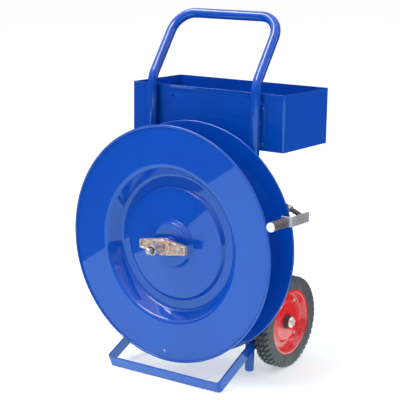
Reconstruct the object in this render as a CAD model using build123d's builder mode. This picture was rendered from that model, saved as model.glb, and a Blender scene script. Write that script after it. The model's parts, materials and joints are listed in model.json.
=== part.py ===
from build123d import *
from math import acos, atan2, cos, degrees, hypot, radians, sin
import os

# Hand cart that carries, pays out and brakes a coil of strapping.
# The row frame is +Z up, +X to the operator's right and +Y to the rear, with the floor at Z = 0.
# The mast leans back, so everything that it carries is drawn in the mast's own frame:
# X midway between the posts, Y from the posts' centre plane and Z up along the posts.

os.makedirs("parts", exist_ok=True)

# ---- Driving dimensions, mm and degrees ---------------------------------------------------

# Mast: one bent tube, two posts and a handle
lean = 2.7
post_clearance = 5.0
post_spacing = 320.0
tube_od = 25.4
tube_wall = 2.0
bend_height = 739.0
grip_height = 901.5
grip_setback = 113.4
bend_radius = 60.0
grip_corner_radius = 58.0
plug_head = 4.0
plug_stem = 16.0
plug_rounding = 3.0

# Reel: two pressed discs on a hub that turns on a fixed spindle
reel_height = 337.0
disc_diameter = 610.0
disc_sheet = 2.0
bead_diameter = 6.0
dish_diameter = 400.0
dish_floor_diameter = 354.0
dish_floor_inner_diameter = 300.0
cone_rim_diameter = 284.0
cone_top_diameter = 124.0
plateau_diameter = 108.0
dish_depth = 36.0
cone_rim_depth = 28.0
cone_top_depth = 20.0
plateau_depth = 9.0
front_disc_face = -142.0
rear_disc_face = -36.0
strap_hole_diameter = 7.0
strap_hole_radius = 280.0
strap_hole_angle = -92.0
spindle_diameter = 15.0
spindle_tip = -228.0
spindle_tail = 24.0
spindle_collar_diameter = 26.0
spindle_collar_thickness = 4.0
hub_tube_od = 25.0
hub_tube_bore = 19.0
hub_tube_front = -211.0
bush_length = 25.0
thrust_washer_thickness = 2.0
circlip_thickness = 1.2
circlip_od = 21.0
circlip_groove_depth = 0.8
drum_diameter = 160.0
drum_wall = 4.0
drum_web = 3.0
drum_back = -15.0
drum_front = -32.0

# Clamp: a boss welded in the front disc, a washer and a cast wing nut on the threaded hub tube
boss_diameter = 36.0
boss_length = 16.0
boss_flange = 3.0
clamp_washer_diameter = 40.0
clamp_washer_thickness = 3.0
nut_base_diameter = 40.0
nut_length = 22.0
wing_span = 142.0
wing_root_height = 42.0
wing_tip_height = 21.0
wing_thickness = 13.0
wing_pocket_depth = 2.5
wing_rim = 4.0

# Crossbar between the posts
crossbar_height = 40.0
crossbar_depth = 20.0
crossbar_wall = 2.5

# Tool tray behind the posts
tray_width = 472.0
tray_depth = 216.0
tray_height = 144.0
tray_base = 576.0
tray_sheet = 1.5
tray_corner_radius = 5.0
tray_gap = 2.3
hem_height = 10.0
hem_end_margin = 9.0
accessory_hole_spacing = 210.0
accessory_hole_height = 691.0
accessory_hole_diameter = 6.5
tray_bolt_offset = 14.0
tray_bolt_heights = (592.0, 682.0)
bracket_width = 24.0
bracket_thickness = 3.0
bracket_base = 580.0
bracket_height = 117.0

# Foot loop: flat bar on edge, bent in one plane that rises to the rear
bar_width = 30.0
bar_thickness = 5.0
loop_slope = 22.7
loop_front = -157.0
loop_corner_radius = 9.0
loop_rear = 78.0

# Wheels on one axle
wheel_diameter = 241.0
wheel_gap = 5.8
axle_setback = 98.5
axle_diameter = 16.0
tyre_width = 46.0
rim_width = 38.0
rim_diameter = 172.0
rim_seat_diameter = 160.0
rim_well_diameter = 146.0
rim_disc_diameter = 98.0
rim_disc_step = 5.0
rim_sheet = 2.0
wheel_hub_od = 26.0
wheel_hub_length = 38.0
hub_bush_od = 21.0
seal_diameter = 39.0
seal_thickness = 2.0
rivet_count = 4
rivet_circle = 128.0
rivet_diameter = 7.0
axle_plate_thickness = 5.0
spacer_od = 26.0
cap_diameter = 30.0
cap_length = 7.0

# Brake arm: strap guide roller, rod, lever and shoe turning on one bolt
pivot_height = 500.0
pivot_bolt_diameter = 12.0
pivot_head_diameter = 20.0
pivot_head_thickness = 3.0
sleeve_od = 24.0
pivot_spacer_thickness = 1.3
sleeve_length = 12.4
rod_diameter = 12.0
rod_end_height = 433.5
rod_collar_distance = 126.0
rod_collar_diameter = 17.0
rod_collar_length = 9.0
guide_bar_clearance = 12.5
guide_bar_width = 25.0
guide_bar_thickness = 5.0
guide_bar_rear = 1.0
guide_bar_front = -82.0
guide_tab_length = 29.5
guide_bar_height = 430.5
roller_diameter = 25.0
roller_inset = 17.5
roller_axis_z = 428.5
roller_rear = -87.0
roller_front = -147.0
roller_pin_diameter = 10.0
roller_cap_diameter = 24.0
roller_cap_thickness = 4.0
roller_spacer_diameter = 16.0
lever_width = 20.0
lever_thickness = 5.0
pad_thickness = 6.0
shoe_thickness = 3.0
shoe_half_angle = 16.0
pad_width = 12.0
lug_height = 385.0
lug_width = 20.0
lug_thickness = 3.5
spring_offset = 35.0
spring_pin_diameter = 6.0
spring_diameter = 13.0
spring_wire = 2.0

# Fits
running_clearance = 0.05
moving_gap = 0.3
pad_gap = 0.4

# ---- Derived sizes and the mast's frame -----------------------------------------------------

post_x = post_spacing / 2
tube_r = tube_od / 2
bore_r = tube_r - tube_wall
disc_r = disc_diameter / 2
spindle_r = spindle_diameter / 2
hub_tube_r = hub_tube_od / 2
drum_r = drum_diameter / 2
boss_pilot_r = boss_diameter / 2 - boss_flange
wheel_r = wheel_diameter / 2
axle_r = axle_diameter / 2
wheel_track = post_spacing + tube_od + 2 * (bar_thickness + wheel_gap) + tyre_width
guide_bar_reach = disc_r + guide_bar_clearance + guide_bar_thickness
guide_tab_inner = guide_bar_reach - guide_tab_length
roller_axis_x = guide_bar_reach - roller_inset
tray_front = tube_r + tray_gap
lean_sin = sin(radians(lean))
lean_cos = cos(radians(lean))

# The origin is under the middle of the whole object, so the mast stands a little off it.
nose = spindle_tip * lean_cos + reel_height * lean_sin
tail = (tray_front + tray_depth) * lean_cos + (tray_base + tray_height) * lean_sin
mast_x = (disc_r - guide_bar_reach) / 2
mast_y = -(nose + tail) / 2
mast = Plane(origin=(mast_x, mast_y, post_clearance), x_dir=(1, 0, 0), z_dir=(0, lean_sin, lean_cos))


def on_mast(x, y, z):
    """Row-frame place of a point given in the mast's frame."""
    return mast.from_local_coords(Vector(x, y, z))


def facing_front(y, x=0.0, z=0.0):
    """Plane across the mast whose normal points to the front; sketch x is right, sketch y is up."""
    return Plane(origin=on_mast(x, y, z), x_dir=mast.x_dir, z_dir=-mast.y_dir)


def facing_right(x, y=0.0, z=0.0):
    """Plane whose normal points to the right; sketch x is rearward, sketch y is up."""
    return Plane(origin=on_mast(x, y, z), x_dir=mast.y_dir, z_dir=mast.x_dir)


def level(z, x=0.0, y=0.0):
    """Plane square to the posts; sketch x is right, sketch y is rearward."""
    return Plane(origin=on_mast(x, y, z), x_dir=mast.x_dir, z_dir=mast.z_dir)


def reel_section(y, rearward=True):
    """Plane through the reel's axis; sketch x is radius and sketch y runs rearward or forward."""
    normal = mast.z_dir if rearward else -mast.z_dir
    return Plane(origin=on_mast(0, y, reel_height), x_dir=mast.x_dir, z_dir=normal)


def wheel_section(side):
    """Plane through the axle; sketch x is radius and sketch y runs outward from mid wheel."""
    centre = (mast_x + side * wheel_track / 2, axle_y, wheel_r)
    return Plane(origin=centre, x_dir=(0, 0, 1), z_dir=(0, side, 0))


axle_y = mast_y + axle_setback
mast_axis = Axis(on_mast(0, 0, 0), mast.z_dir)
reel_axis = Axis(on_mast(0, 0, reel_height), -mast.y_dir)
axle_axis = Axis((mast_x, axle_y, wheel_r), (1, 0, 0))


def write(piece, node):
    """Label one finished sub-part and write it to its own file."""
    piece.part.label = node
    export_step(piece.part, f"parts/{node}.step")


def turned_ring(outer, inner, back, front, x=0.0, z=reel_height):
    """Ring or, with no inner diameter, a round bar that runs forward from back to front."""
    with BuildPart() as ring:
        with BuildSketch(facing_front(back, x, z)):
            Circle(outer / 2)
            if inner:
                Circle(inner / 2, mode=Mode.SUBTRACT)
        extrude(amount=back - front)
    return ring


def axle_ring(outer, inner, side, start, end):
    """Ring about the axle between two distances from the mast's middle, on one side."""
    with BuildPart() as ring:
        with BuildSketch(Plane(origin=(mast_x + side * start, axle_y, wheel_r),
                               x_dir=(0, 1, 0), z_dir=(side, 0, 0))):
            Circle(outer / 2)
            Circle(inner / 2, mode=Mode.SUBTRACT)
        extrude(amount=end - start)
    return ring


# ---- Mast -------------------------------------------------------------------------------------

with BuildPart() as mast_tube:
    with BuildLine() as mast_path:
        FilletPolyline(
            on_mast(-post_x, 0, plug_head),
            on_mast(-post_x, 0, bend_height),
            on_mast(-post_x, grip_setback, grip_height),
            on_mast(post_x, grip_setback, grip_height),
            on_mast(post_x, 0, bend_height),
            on_mast(post_x, 0, plug_head),
            radius=[bend_radius, grip_corner_radius, grip_corner_radius, bend_radius],
        )
    with BuildSketch(level(plug_head, -post_x)):
        Circle(tube_r)
        Circle(bore_r, mode=Mode.SUBTRACT)
    sweep()
    # through holes for the brake arm's bolt
    with BuildSketch(facing_front(tube_od, post_x, pivot_height)):
        Circle(pivot_bolt_diameter / 2)
    extrude(amount=2 * tube_od, mode=Mode.SUBTRACT)
write(mast_tube, "mast_tube")

# Plugs with rounded heads close the posts, which end just above the floor.
with BuildPart() as post_plugs:
    for x in (-post_x, post_x):
        with BuildSketch(level(0, x)):
            Circle(tube_r)
        extrude(amount=plug_head)
        with BuildSketch(level(plug_head, x)):
            Circle(bore_r)
        extrude(amount=plug_stem)
    fillet(post_plugs.edges().group_by(mast_axis)[0], radius=plug_rounding)
write(post_plugs, "post_plugs")

# Rectangular tube between the posts, coped to their round sides, drilled for the spindle
with BuildPart() as spindle_crossbar:
    with BuildSketch(facing_right(-post_x, 0, reel_height)):
        Rectangle(crossbar_depth, crossbar_height)
        Rectangle(crossbar_depth - 2 * crossbar_wall, crossbar_height - 2 * crossbar_wall,
                  mode=Mode.SUBTRACT)
    extrude(amount=post_spacing)
    for x in (-post_x, post_x):
        with BuildSketch(level(reel_height - crossbar_height, x)):
            Circle(tube_r)
        extrude(amount=2 * crossbar_height, mode=Mode.SUBTRACT)
    with BuildSketch(facing_front(crossbar_depth, 0, reel_height)):
        Circle(spindle_r)
    extrude(amount=2 * crossbar_depth, mode=Mode.SUBTRACT)
write(spindle_crossbar, "spindle_crossbar")

# ---- Spindle and its fasteners ------------------------------------------------------------------

crossbar_face = -crossbar_depth / 2
collar_front = crossbar_face - spindle_collar_thickness
hub_tube_rear = collar_front - thrust_washer_thickness - moving_gap
front_washer_back = hub_tube_front - moving_gap
circlip_back = front_washer_back - thrust_washer_thickness
groove_r = spindle_r - circlip_groove_depth

with BuildPart() as spindle:
    with BuildSketch(reel_section(0, rearward=False)):
        with BuildLine():
            Polyline(
                (0, -spindle_tail),
                (spindle_r, -spindle_tail),
                (spindle_r, -crossbar_face),
                (spindle_collar_diameter / 2, -crossbar_face),
                (spindle_collar_diameter / 2, -collar_front),
                (spindle_r, -collar_front),
                (spindle_r, -circlip_back),
                (groove_r, -circlip_back),
                (groove_r, -circlip_back + circlip_thickness),
                (spindle_r, -circlip_back + circlip_thickness),
                (spindle_r, -spindle_tip),
                (0, -spindle_tip),
                close=True,
            )
        make_face()
    revolve(axis=reel_axis)
    tip_edge = spindle.edges().filter_by(GeomType.CIRCLE).sort_by(-reel_axis)[0]
    chamfer(tip_edge, length=1.5)
    # centre-drilled dimple in the tip
    with BuildSketch(reel_section(spindle_tip, rearward=True)):
        with BuildLine():
            Polyline((0, 0), (2.5, 0), (0, 3.0), close=True)
        make_face()
    revolve(axis=reel_axis, mode=Mode.SUBTRACT)
write(spindle, "spindle")

write(turned_ring(spindle_collar_diameter - 1, spindle_diameter + 2 * running_clearance,
                  collar_front, collar_front - thrust_washer_thickness), "rear_thrust_washer")
write(turned_ring(hub_tube_od - 1, spindle_diameter + 2 * running_clearance,
                  front_washer_back, circlip_back), "front_thrust_washer")

# Open retaining ring that sits in the spindle's groove
with BuildPart() as circlip:
    with BuildSketch(facing_front(circlip_back, 0, reel_height)):
        Circle(circlip_od / 2)
        Circle(groove_r, mode=Mode.SUBTRACT)
        with Locations((0, -circlip_od / 2)):
            Rectangle(groove_r, circlip_od, mode=Mode.SUBTRACT)
    extrude(amount=circlip_thickness)
write(circlip, "circlip")

# Nut and plain washer that hold the spindle behind the crossbar
write(turned_ring(30.0, spindle_diameter, -crossbar_face + 2.5, -crossbar_face), "spindle_washer")
with BuildPart() as spindle_nut:
    with BuildSketch(facing_front(spindle_tail - 1.5, 0, reel_height)):
        RegularPolygon(radius=12.0, side_count=6, major_radius=False)
        Circle(spindle_r, mode=Mode.SUBTRACT)
    extrude(amount=spindle_tail - 1.5 + crossbar_face - 2.5)
write(spindle_nut, "spindle_nut")

# ---- Reel -------------------------------------------------------------------------------------------

with BuildPart() as hub_tube:
    with BuildSketch(facing_front(hub_tube_rear, 0, reel_height)):
        Circle(hub_tube_r)
        Circle(hub_tube_bore / 2, mode=Mode.SUBTRACT)
    extrude(amount=hub_tube_rear - hub_tube_front)
write(hub_tube, "hub_tube")

bush_bore = spindle_diameter + 2 * running_clearance
write(turned_ring(hub_tube_bore, bush_bore, hub_tube_rear, hub_tube_rear - bush_length), "rear_bush")
write(turned_ring(hub_tube_bore, bush_bore, hub_tube_front + bush_length, hub_tube_front),
      "front_bush")


def pressed_disc(outer_face, rearward, hole_r, strap_hole=False):
    """Dished disc with a rolled rim; its dish sinks from outer_face in the given direction."""
    with BuildPart() as disc:
        with BuildSketch(reel_section(outer_face, rearward)):
            with BuildLine() as middle:
                FilletPolyline(
                    (disc_r - bead_diameter / 2, disc_sheet / 2),
                    (dish_diameter / 2, disc_sheet / 2),
                    (dish_floor_diameter / 2, dish_depth + disc_sheet / 2),
                    (dish_floor_inner_diameter / 2, dish_depth + disc_sheet / 2),
                    (cone_rim_diameter / 2, cone_rim_depth + disc_sheet / 2),
                    (cone_top_diameter / 2, cone_top_depth + disc_sheet / 2),
                    (plateau_diameter / 2, plateau_depth + disc_sheet / 2),
                    (hole_r, plateau_depth + disc_sheet / 2),
                    radius=[12.0, 12.0, 4.0, 4.0, 4.0, 4.0],
                )
            trace(line_width=disc_sheet)
            with Locations((disc_r - bead_diameter / 2, disc_sheet - bead_diameter / 2)):
                Circle(bead_diameter / 2)
        revolve(axis=reel_axis)
        if strap_hole:
            # small hole near the rim, to tie the coil's loose end to
            with BuildSketch(facing_front(outer_face + bead_diameter, 0, reel_height)):
                with PolarLocations(strap_hole_radius, 1, start_angle=strap_hole_angle):
                    Circle(strap_hole_diameter / 2)
            extrude(amount=2 * bead_diameter, mode=Mode.SUBTRACT)
    return disc


write(pressed_disc(rear_disc_face, False, hub_tube_r), "rear_disc")
write(pressed_disc(front_disc_face, True, boss_pilot_r, strap_hole=True), "front_disc")

# Brake drum: a flanged cup on the hub tube, behind the rear disc
with BuildPart() as brake_drum:
    with BuildSketch(reel_section(drum_back, rearward=False)):
        with BuildLine():
            Polyline(
                (hub_tube_r, drum_back - drum_front),
                (hub_tube_r, drum_back - drum_front - drum_web),
                (drum_r - drum_wall, drum_back - drum_front - drum_web),
                (drum_r - drum_wall, 0),
                (drum_r, 0),
                (drum_r, drum_back - drum_front),
                close=True,
            )
        make_face()
    revolve(axis=reel_axis)
write(brake_drum, "brake_drum")

# ---- Front disc's clamp --------------------------------------------------------------------------

slide_bore = hub_tube_od + 2 * running_clearance
plateau_face = front_disc_face + plateau_depth
boss_front = plateau_face - boss_length
with BuildPart() as front_boss:
    with BuildSketch(facing_front(plateau_face + disc_sheet, 0, reel_height)):
        Circle(boss_pilot_r)
        Circle(slide_bore / 2, mode=Mode.SUBTRACT)
    extrude(amount=disc_sheet)
    with BuildSketch(facing_front(plateau_face, 0, reel_height)):
        Circle(boss_diameter / 2)
        Circle(slide_bore / 2, mode=Mode.SUBTRACT)
    extrude(amount=plateau_face - boss_front)
    boss_rim = front_boss.edges().filter_by(GeomType.CIRCLE).sort_by(-reel_axis)[:2]
    chamfer(boss_rim.sort_by(SortBy.RADIUS)[-1], length=1.0)
write(front_boss, "front_boss")

washer_front = boss_front - clamp_washer_thickness
write(turned_ring(clamp_washer_diameter, slide_bore + 0.4, boss_front, washer_front), "clamp_washer")

# Cast wing nut: a tapered boss with two pocketed wings
nut_back = washer_front - moving_gap
nut_front = nut_back - nut_length
wing_back = nut_back - 4.0
with BuildPart() as wing_nut:
    with BuildSketch(facing_front(nut_back, 0, reel_height)):
        Circle(nut_base_diameter / 2)
    extrude(amount=nut_length, taper=3.0)
    with BuildSketch(facing_front(wing_back, 0, reel_height)):
        with BuildLine():
            Polyline(
                (-wing_span / 2, -wing_tip_height / 2),
                (0, -wing_root_height / 2),
                (wing_span / 2, -wing_tip_height / 2),
                (wing_span / 2, wing_tip_height / 2),
                (0, wing_root_height / 2),
                (-wing_span / 2, wing_tip_height / 2),
                close=True,
            )
        make_face()
    extrude(amount=wing_thickness, taper=2.0)
    fillet(wing_nut.edges().filter_by(lambda e: abs(e.center().X - mast_x) > wing_span / 2 - 2)
           .filter_by(lambda e: abs((e % 0.5).Y) > 0.9), radius=4.0)
    for side in (-1, 1):
        with BuildSketch(facing_front(wing_back - wing_thickness, 0, reel_height)):
            with BuildLine():
                Polyline(
                    (side * (nut_base_diameter / 2 + wing_rim), -wing_root_height / 2 + 2.0 * wing_rim),
                    (side * (wing_span / 2 - 1.4 * wing_rim), -wing_tip_height / 2 + wing_rim),
                    (side * (wing_span / 2 - 1.4 * wing_rim), wing_tip_height / 2 - wing_rim),
                    (side * (nut_base_diameter / 2 + wing_rim), wing_root_height / 2 - 2.0 * wing_rim),
                    close=True,
                )
            make_face()
        extrude(amount=-wing_pocket_depth, mode=Mode.SUBTRACT)
    with BuildSketch(facing_front(nut_back, 0, reel_height)):
        Circle(slide_bore / 2)
    extrude(amount=nut_length, mode=Mode.SUBTRACT)
write(wing_nut, "wing_nut")

# ---- Tray ------------------------------------------------------------------------------------------------

tray_middle = tray_front + tray_depth / 2
tray_bolt_x = post_x + tray_bolt_offset
bolt_shank = 6.0

with BuildPart() as tray:
    with BuildSketch(level(tray_base, 0, tray_middle)):
        RectangleRounded(tray_width, tray_depth, tray_corner_radius)
    extrude(amount=tray_height)
    with BuildSketch(level(tray_base + tray_sheet, 0, tray_middle)):
        RectangleRounded(tray_width - 2 * tray_sheet, tray_depth - 2 * tray_sheet,
                         tray_corner_radius - tray_sheet)
    extrude(amount=tray_height, mode=Mode.SUBTRACT)
    # hem folded flat on the outside of the front wall
    with BuildSketch(facing_front(tray_front, 0, tray_base + tray_height - hem_height / 2)):
        Rectangle(tray_width - 2 * hem_end_margin, hem_height)
    extrude(amount=tray_sheet)
    with BuildSketch(facing_front(tray_front + 2 * tray_sheet)):
        with Locations(*[(side * accessory_hole_spacing / 2, accessory_hole_height)
                         for side in (-1, 1)]):
            Circle(accessory_hole_diameter / 2)
        with Locations(*[(side * tray_bolt_x, height)
                         for side in (-1, 1) for height in tray_bolt_heights]):
            Circle(bolt_shank / 2)
    extrude(amount=3 * tray_sheet, mode=Mode.SUBTRACT)
write(tray, "tray")

# Flat plates welded behind the posts; the tray bolts to them
with BuildPart() as tray_brackets:
    for side in (-1, 1):
        with BuildSketch(facing_front(tray_front, side * (post_x + bracket_width / 2),
                                      bracket_base + bracket_height / 2)):
            Rectangle(bracket_width, bracket_height)
        extrude(amount=bracket_thickness)
        with BuildSketch(facing_front(tray_front)):
            with Locations(*[(side * tray_bolt_x, height) for height in tray_bolt_heights]):
                Circle(bolt_shank / 2)
        extrude(amount=bracket_thickness, mode=Mode.SUBTRACT)
        with BuildSketch(level(bracket_base - 1, side * post_x)):
            Circle(tube_r)
        extrude(amount=bracket_height + 2, mode=Mode.SUBTRACT)
write(tray_brackets, "tray_brackets")

bolt_seat = tray_front - bracket_thickness
with BuildPart() as tray_bolts:
    for side in (-1, 1):
        for height in tray_bolt_heights:
            with BuildSketch(facing_front(tray_front + 10.0, side * tray_bolt_x, height)):
                Circle(bolt_shank / 2)
            extrude(amount=10.0 + bracket_thickness)
            with BuildSketch(facing_front(bolt_seat, side * tray_bolt_x, height)):
                Circle(5.0)
            extrude(amount=3.3, taper=22.0)
write(tray_bolts, "tray_bolts")

with BuildPart() as tray_nuts:
    for side in (-1, 1):
        for height in tray_bolt_heights:
            with BuildSketch(facing_front(tray_front + tray_sheet + 5.0, side * tray_bolt_x, height)):
                RegularPolygon(radius=5.0, side_count=6, major_radius=False)
                Circle(bolt_shank / 2, mode=Mode.SUBTRACT)
            extrude(amount=5.0)
write(tray_nuts, "tray_nuts")

# ---- Foot loop -------------------------------------------------------------------------------------------

# The loop's own plane starts at the front bar's lower front edge, on the floor, and rises rearward.
loop_x = post_x + tube_r + bar_thickness / 2
loop_plane = Plane(origin=(mast_x, mast_y + loop_front, 0), x_dir=(1, 0, 0),
                   z_dir=(0, -sin(radians(loop_slope)), cos(radians(loop_slope))))
loop_run = (loop_rear - loop_front) / cos(radians(loop_slope))
with BuildPart() as foot_loop:
    with BuildSketch(loop_plane):
        with BuildLine() as loop_path:
            FilletPolyline(
                (-loop_x, loop_run),
                (-loop_x, bar_thickness / 2),
                (loop_x, bar_thickness / 2),
                (loop_x, loop_run),
                radius=loop_corner_radius,
            )
        trace(line_width=bar_thickness)
    extrude(amount=bar_width)
write(foot_loop, "foot_loop")

# ---- Axle and wheels ----------------------------------------------------------------------------------

plate_outer = post_x + tube_r
hub_inner = wheel_track / 2 - wheel_hub_length / 2
hub_outer = wheel_track / 2 + wheel_hub_length / 2
spacer_end = hub_inner - moving_gap
cap_seat = hub_outer + moving_gap
axle_end = cap_seat + cap_length - 3.0

# Plates inside the loop's ends that carry the axle above the bars
with BuildPart() as axle_plates:
    for side in (-1, 1):
        with BuildSketch(Plane(origin=(mast_x + side * plate_outer, axle_y, wheel_r),
                               x_dir=(0, 1, 0), z_dir=(1, 0, 0))):
            with BuildLine():
                Polyline((-60, -47), (-30, -47), (22, -22), (22, 18), (-18, 18), (-60, -14),
                         close=True)
            make_face()
            fillet(vertices(), radius=6.0)
            Circle(axle_r, mode=Mode.SUBTRACT)
        extrude(amount=-side * axle_plate_thickness)
write(axle_plates, "axle_plates")

with BuildPart() as axle:
    with BuildSketch(Plane(origin=(mast_x - axle_end, axle_y, wheel_r),
                           x_dir=(0, 1, 0), z_dir=(1, 0, 0))):
        Circle(axle_r)
    extrude(amount=2 * axle_end)
write(axle, "axle")

with BuildPart() as axle_spacers:
    for side in (-1, 1):
        add(axle_ring(spacer_od, axle_diameter, side, plate_outer, spacer_end).part)
write(axle_spacers, "axle_spacers")

# Domed push-on caps on the axle's ends
with BuildPart() as axle_caps:
    for side in (-1, 1):
        with BuildSketch(Plane(origin=(mast_x + side * cap_seat, axle_y, wheel_r),
                               x_dir=(0, 0, 1), z_dir=(0, side, 0))):
            with BuildLine():
                Polyline((axle_r, 0), (cap_diameter / 2, 0), (cap_diameter / 2, 2.5),
                         (cap_diameter / 2 - 5, cap_length), (0, cap_length),
                         (0, cap_length - 3.0), (axle_r, cap_length - 3.0), close=True)
            make_face()
        revolve(axis=axle_axis)
write(axle_caps, "axle_caps")

rim_r = rim_diameter / 2
seat_r = rim_seat_diameter / 2
well_r = rim_well_diameter / 2
rim_disc_r = rim_disc_diameter / 2
half_rim = rim_width / 2
half_tyre = tyre_width / 2
sheet_mid = rim_sheet / 2


def half_rim_line(outward):
    """Points down the middle of one pressed half rim's sheet, from its edge to the hub."""
    edge = half_rim - sheet_mid
    return [
        (rim_r - sheet_mid, outward * edge),
        (seat_r, outward * edge),
        (well_r, outward * sheet_mid),
        (rim_disc_r + 7.0, outward * sheet_mid),
        (rim_disc_r, outward * (sheet_mid + rim_disc_step)),
        (wheel_hub_od / 2, outward * (sheet_mid + rim_disc_step)),
    ]


for side, hand in ((-1, "left"), (1, "right")):
    half_rims = []
    for outward, face in ((1, "outer"), (-1, "inner")):
        with BuildPart() as pressed_rim:
            with BuildSketch(wheel_section(side)):
                with BuildLine():
                    FilletPolyline(*half_rim_line(outward), radius=[3.0, 5.0, 3.0, 3.0])
                trace(line_width=rim_sheet)
            revolve(axis=axle_axis)
            with BuildSketch(Plane(origin=(mast_x + side * wheel_track / 2, axle_y, wheel_r),
                                   x_dir=(0, 1, 0), z_dir=(side, 0, 0))):
                with PolarLocations(rivet_circle / 2, rivet_count, start_angle=45):
                    Circle(rivet_diameter / 2)
            extrude(amount=outward * 2 * rim_sheet, mode=Mode.SUBTRACT)
        write(pressed_rim, f"{hand}_{face}_rim")
        half_rims.append(pressed_rim.part)

    # Rubber tyre: filled down to the rims' seats, which are then cut out of it
    with BuildPart() as tyre:
        with BuildSketch(wheel_section(side)):
            with BuildLine():
                Polyline(
                    (well_r + 1.5, 0),
                    (seat_r, -half_rim + sheet_mid),
                    (rim_r - 1.0, -half_rim + sheet_mid),
                    (rim_r + 6.0, -half_tyre + 2.0),
                    (wheel_r - 16.0, -half_tyre),
                    (wheel_r - 2.5, -half_tyre + 2.5),
                    (wheel_r, -half_tyre + 7.0),
                    (wheel_r, half_tyre - 7.0),
                    (wheel_r - 2.5, half_tyre - 2.5),
                    (wheel_r - 16.0, half_tyre),
                    (rim_r + 6.0, half_tyre - 2.0),
                    (rim_r - 1.0, half_rim - sheet_mid),
                    (seat_r, half_rim - sheet_mid),
                    close=True,
                )
            make_face()
        revolve(axis=axle_axis)
        add(half_rims, mode=Mode.SUBTRACT)
    write(tyre, f"{hand}_tyre")

    write(axle_ring(wheel_hub_od, hub_bush_od, side, hub_inner, hub_outer), f"{hand}_wheel_hub")
    write(axle_ring(hub_bush_od, axle_diameter + 2 * running_clearance, side, hub_inner, hub_outer),
          f"{hand}_wheel_bush")

    seal_seat = wheel_track / 2 + rim_disc_step + rim_sheet
    write(axle_ring(seal_diameter, wheel_hub_od, side, seal_seat, seal_seat + seal_thickness),
          f"{hand}_hub_seal")

    # Rivets that hold the two half rims back to back
    with BuildPart() as rim_rivets:
        middle = mast_x + side * wheel_track / 2
        with BuildSketch(Plane(origin=(middle - side * rim_sheet, axle_y, wheel_r),
                               x_dir=(0, 1, 0), z_dir=(side, 0, 0))):
            with PolarLocations(rivet_circle / 2, rivet_count, start_angle=45):
                Circle(rivet_diameter / 2)
        extrude(amount=2 * rim_sheet)
        for out in (-1, 1):
            with BuildSketch(Plane(origin=(middle + out * side * rim_sheet, axle_y, wheel_r),
                                   x_dir=(0, 1, 0), z_dir=(side, 0, 0))):
                with PolarLocations(rivet_circle / 2, rivet_count, start_angle=45):
                    Circle(0.7 * rivet_diameter)
            extrude(amount=out * 2.5, taper=20.0)
    write(rim_rivets, f"{hand}_rim_rivets")

# ---- Brake arm: what turns on the pivot bolt -----------------------------------------------------

sleeve_back = -tube_r - pivot_spacer_thickness - moving_gap
sleeve_front = sleeve_back - sleeve_length
arm_plane = (sleeve_back + sleeve_front) / 2
pivot_reach = guide_bar_reach - guide_bar_thickness - post_x
rod_fall = degrees(atan2(pivot_height - rod_end_height, pivot_reach))

write(turned_ring(sleeve_od, pivot_bolt_diameter + 2 * running_clearance, sleeve_back, sleeve_front,
                  post_x, pivot_height), "pivot_sleeve")

# Shoulder bolt through the right post, with its head in front of the sleeve
head_seat = sleeve_front - moving_gap
with BuildPart() as pivot_bolt:
    with BuildSketch(facing_front(tube_r + 11.0, post_x, pivot_height)):
        Circle(pivot_bolt_diameter / 2)
    extrude(amount=tube_r + 11.0 - head_seat)
    with BuildSketch(facing_front(head_seat, post_x, pivot_height)):
        Circle(pivot_head_diameter / 2)
    extrude(amount=pivot_head_thickness, taper=15.0)
write(pivot_bolt, "pivot_bolt")

write(turned_ring(sleeve_od, pivot_bolt_diameter, -tube_r, sleeve_back + moving_gap,
                  post_x, pivot_height), "pivot_spacer")
with BuildPart() as pivot_nut:
    with BuildSketch(facing_front(tube_r + 9.5, post_x, pivot_height)):
        RegularPolygon(radius=9.0, side_count=6, major_radius=False)
        Circle(pivot_bolt_diameter / 2, mode=Mode.SUBTRACT)
    extrude(amount=9.5)
write(pivot_nut, "pivot_nut")

# Round rod from the sleeve to the guide bar, falling to the right
rod_direction = on_mast(pivot_reach, 0, rod_end_height - pivot_height) - on_mast(0, 0, 0)
rod_start = on_mast(post_x, arm_plane, pivot_height)
rod_plane = Plane(origin=rod_start, x_dir=-mast.y_dir, z_dir=rod_direction)
with BuildPart() as arm_rod:
    with BuildSketch(rod_plane):
        Circle(rod_diameter / 2)
    extrude(amount=1.2 * pivot_reach)
    with BuildSketch(facing_front(sleeve_back + 1, post_x, pivot_height)):
        Circle(sleeve_od / 2)
    extrude(amount=sleeve_length + 2, mode=Mode.SUBTRACT)
    split(bisect_by=facing_right(guide_bar_reach - guide_bar_thickness), keep=Keep.BOTTOM)
write(arm_rod, "arm_rod")

with BuildPart() as rod_collar:
    with BuildSketch(rod_plane.offset(rod_collar_distance)):
        Circle(rod_collar_diameter / 2)
        Circle(rod_diameter / 2, mode=Mode.SUBTRACT)
    extrude(amount=rod_collar_length)
write(rod_collar, "rod_collar")

# Flat bar that runs forward beside the reel and turns in to hold the roller's pin
guide_mid = guide_bar_reach - guide_bar_thickness / 2
with BuildPart() as guide_bar:
    with BuildSketch(level(guide_bar_height - guide_bar_width / 2)):
        with BuildLine():
            FilletPolyline(
                (guide_mid, guide_bar_rear),
                (guide_mid, guide_bar_front + guide_bar_thickness / 2),
                (guide_tab_inner, guide_bar_front + guide_bar_thickness / 2),
                radius=guide_bar_thickness,
            )
        trace(line_width=guide_bar_thickness)
    extrude(amount=guide_bar_width)
    with BuildSketch(facing_front(guide_bar_front + 2 * guide_bar_thickness,
                                  roller_axis_x, roller_axis_z)):
        Circle(roller_pin_diameter / 2)
    extrude(amount=3 * guide_bar_thickness, mode=Mode.SUBTRACT)
write(guide_bar, "guide_bar")

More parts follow.
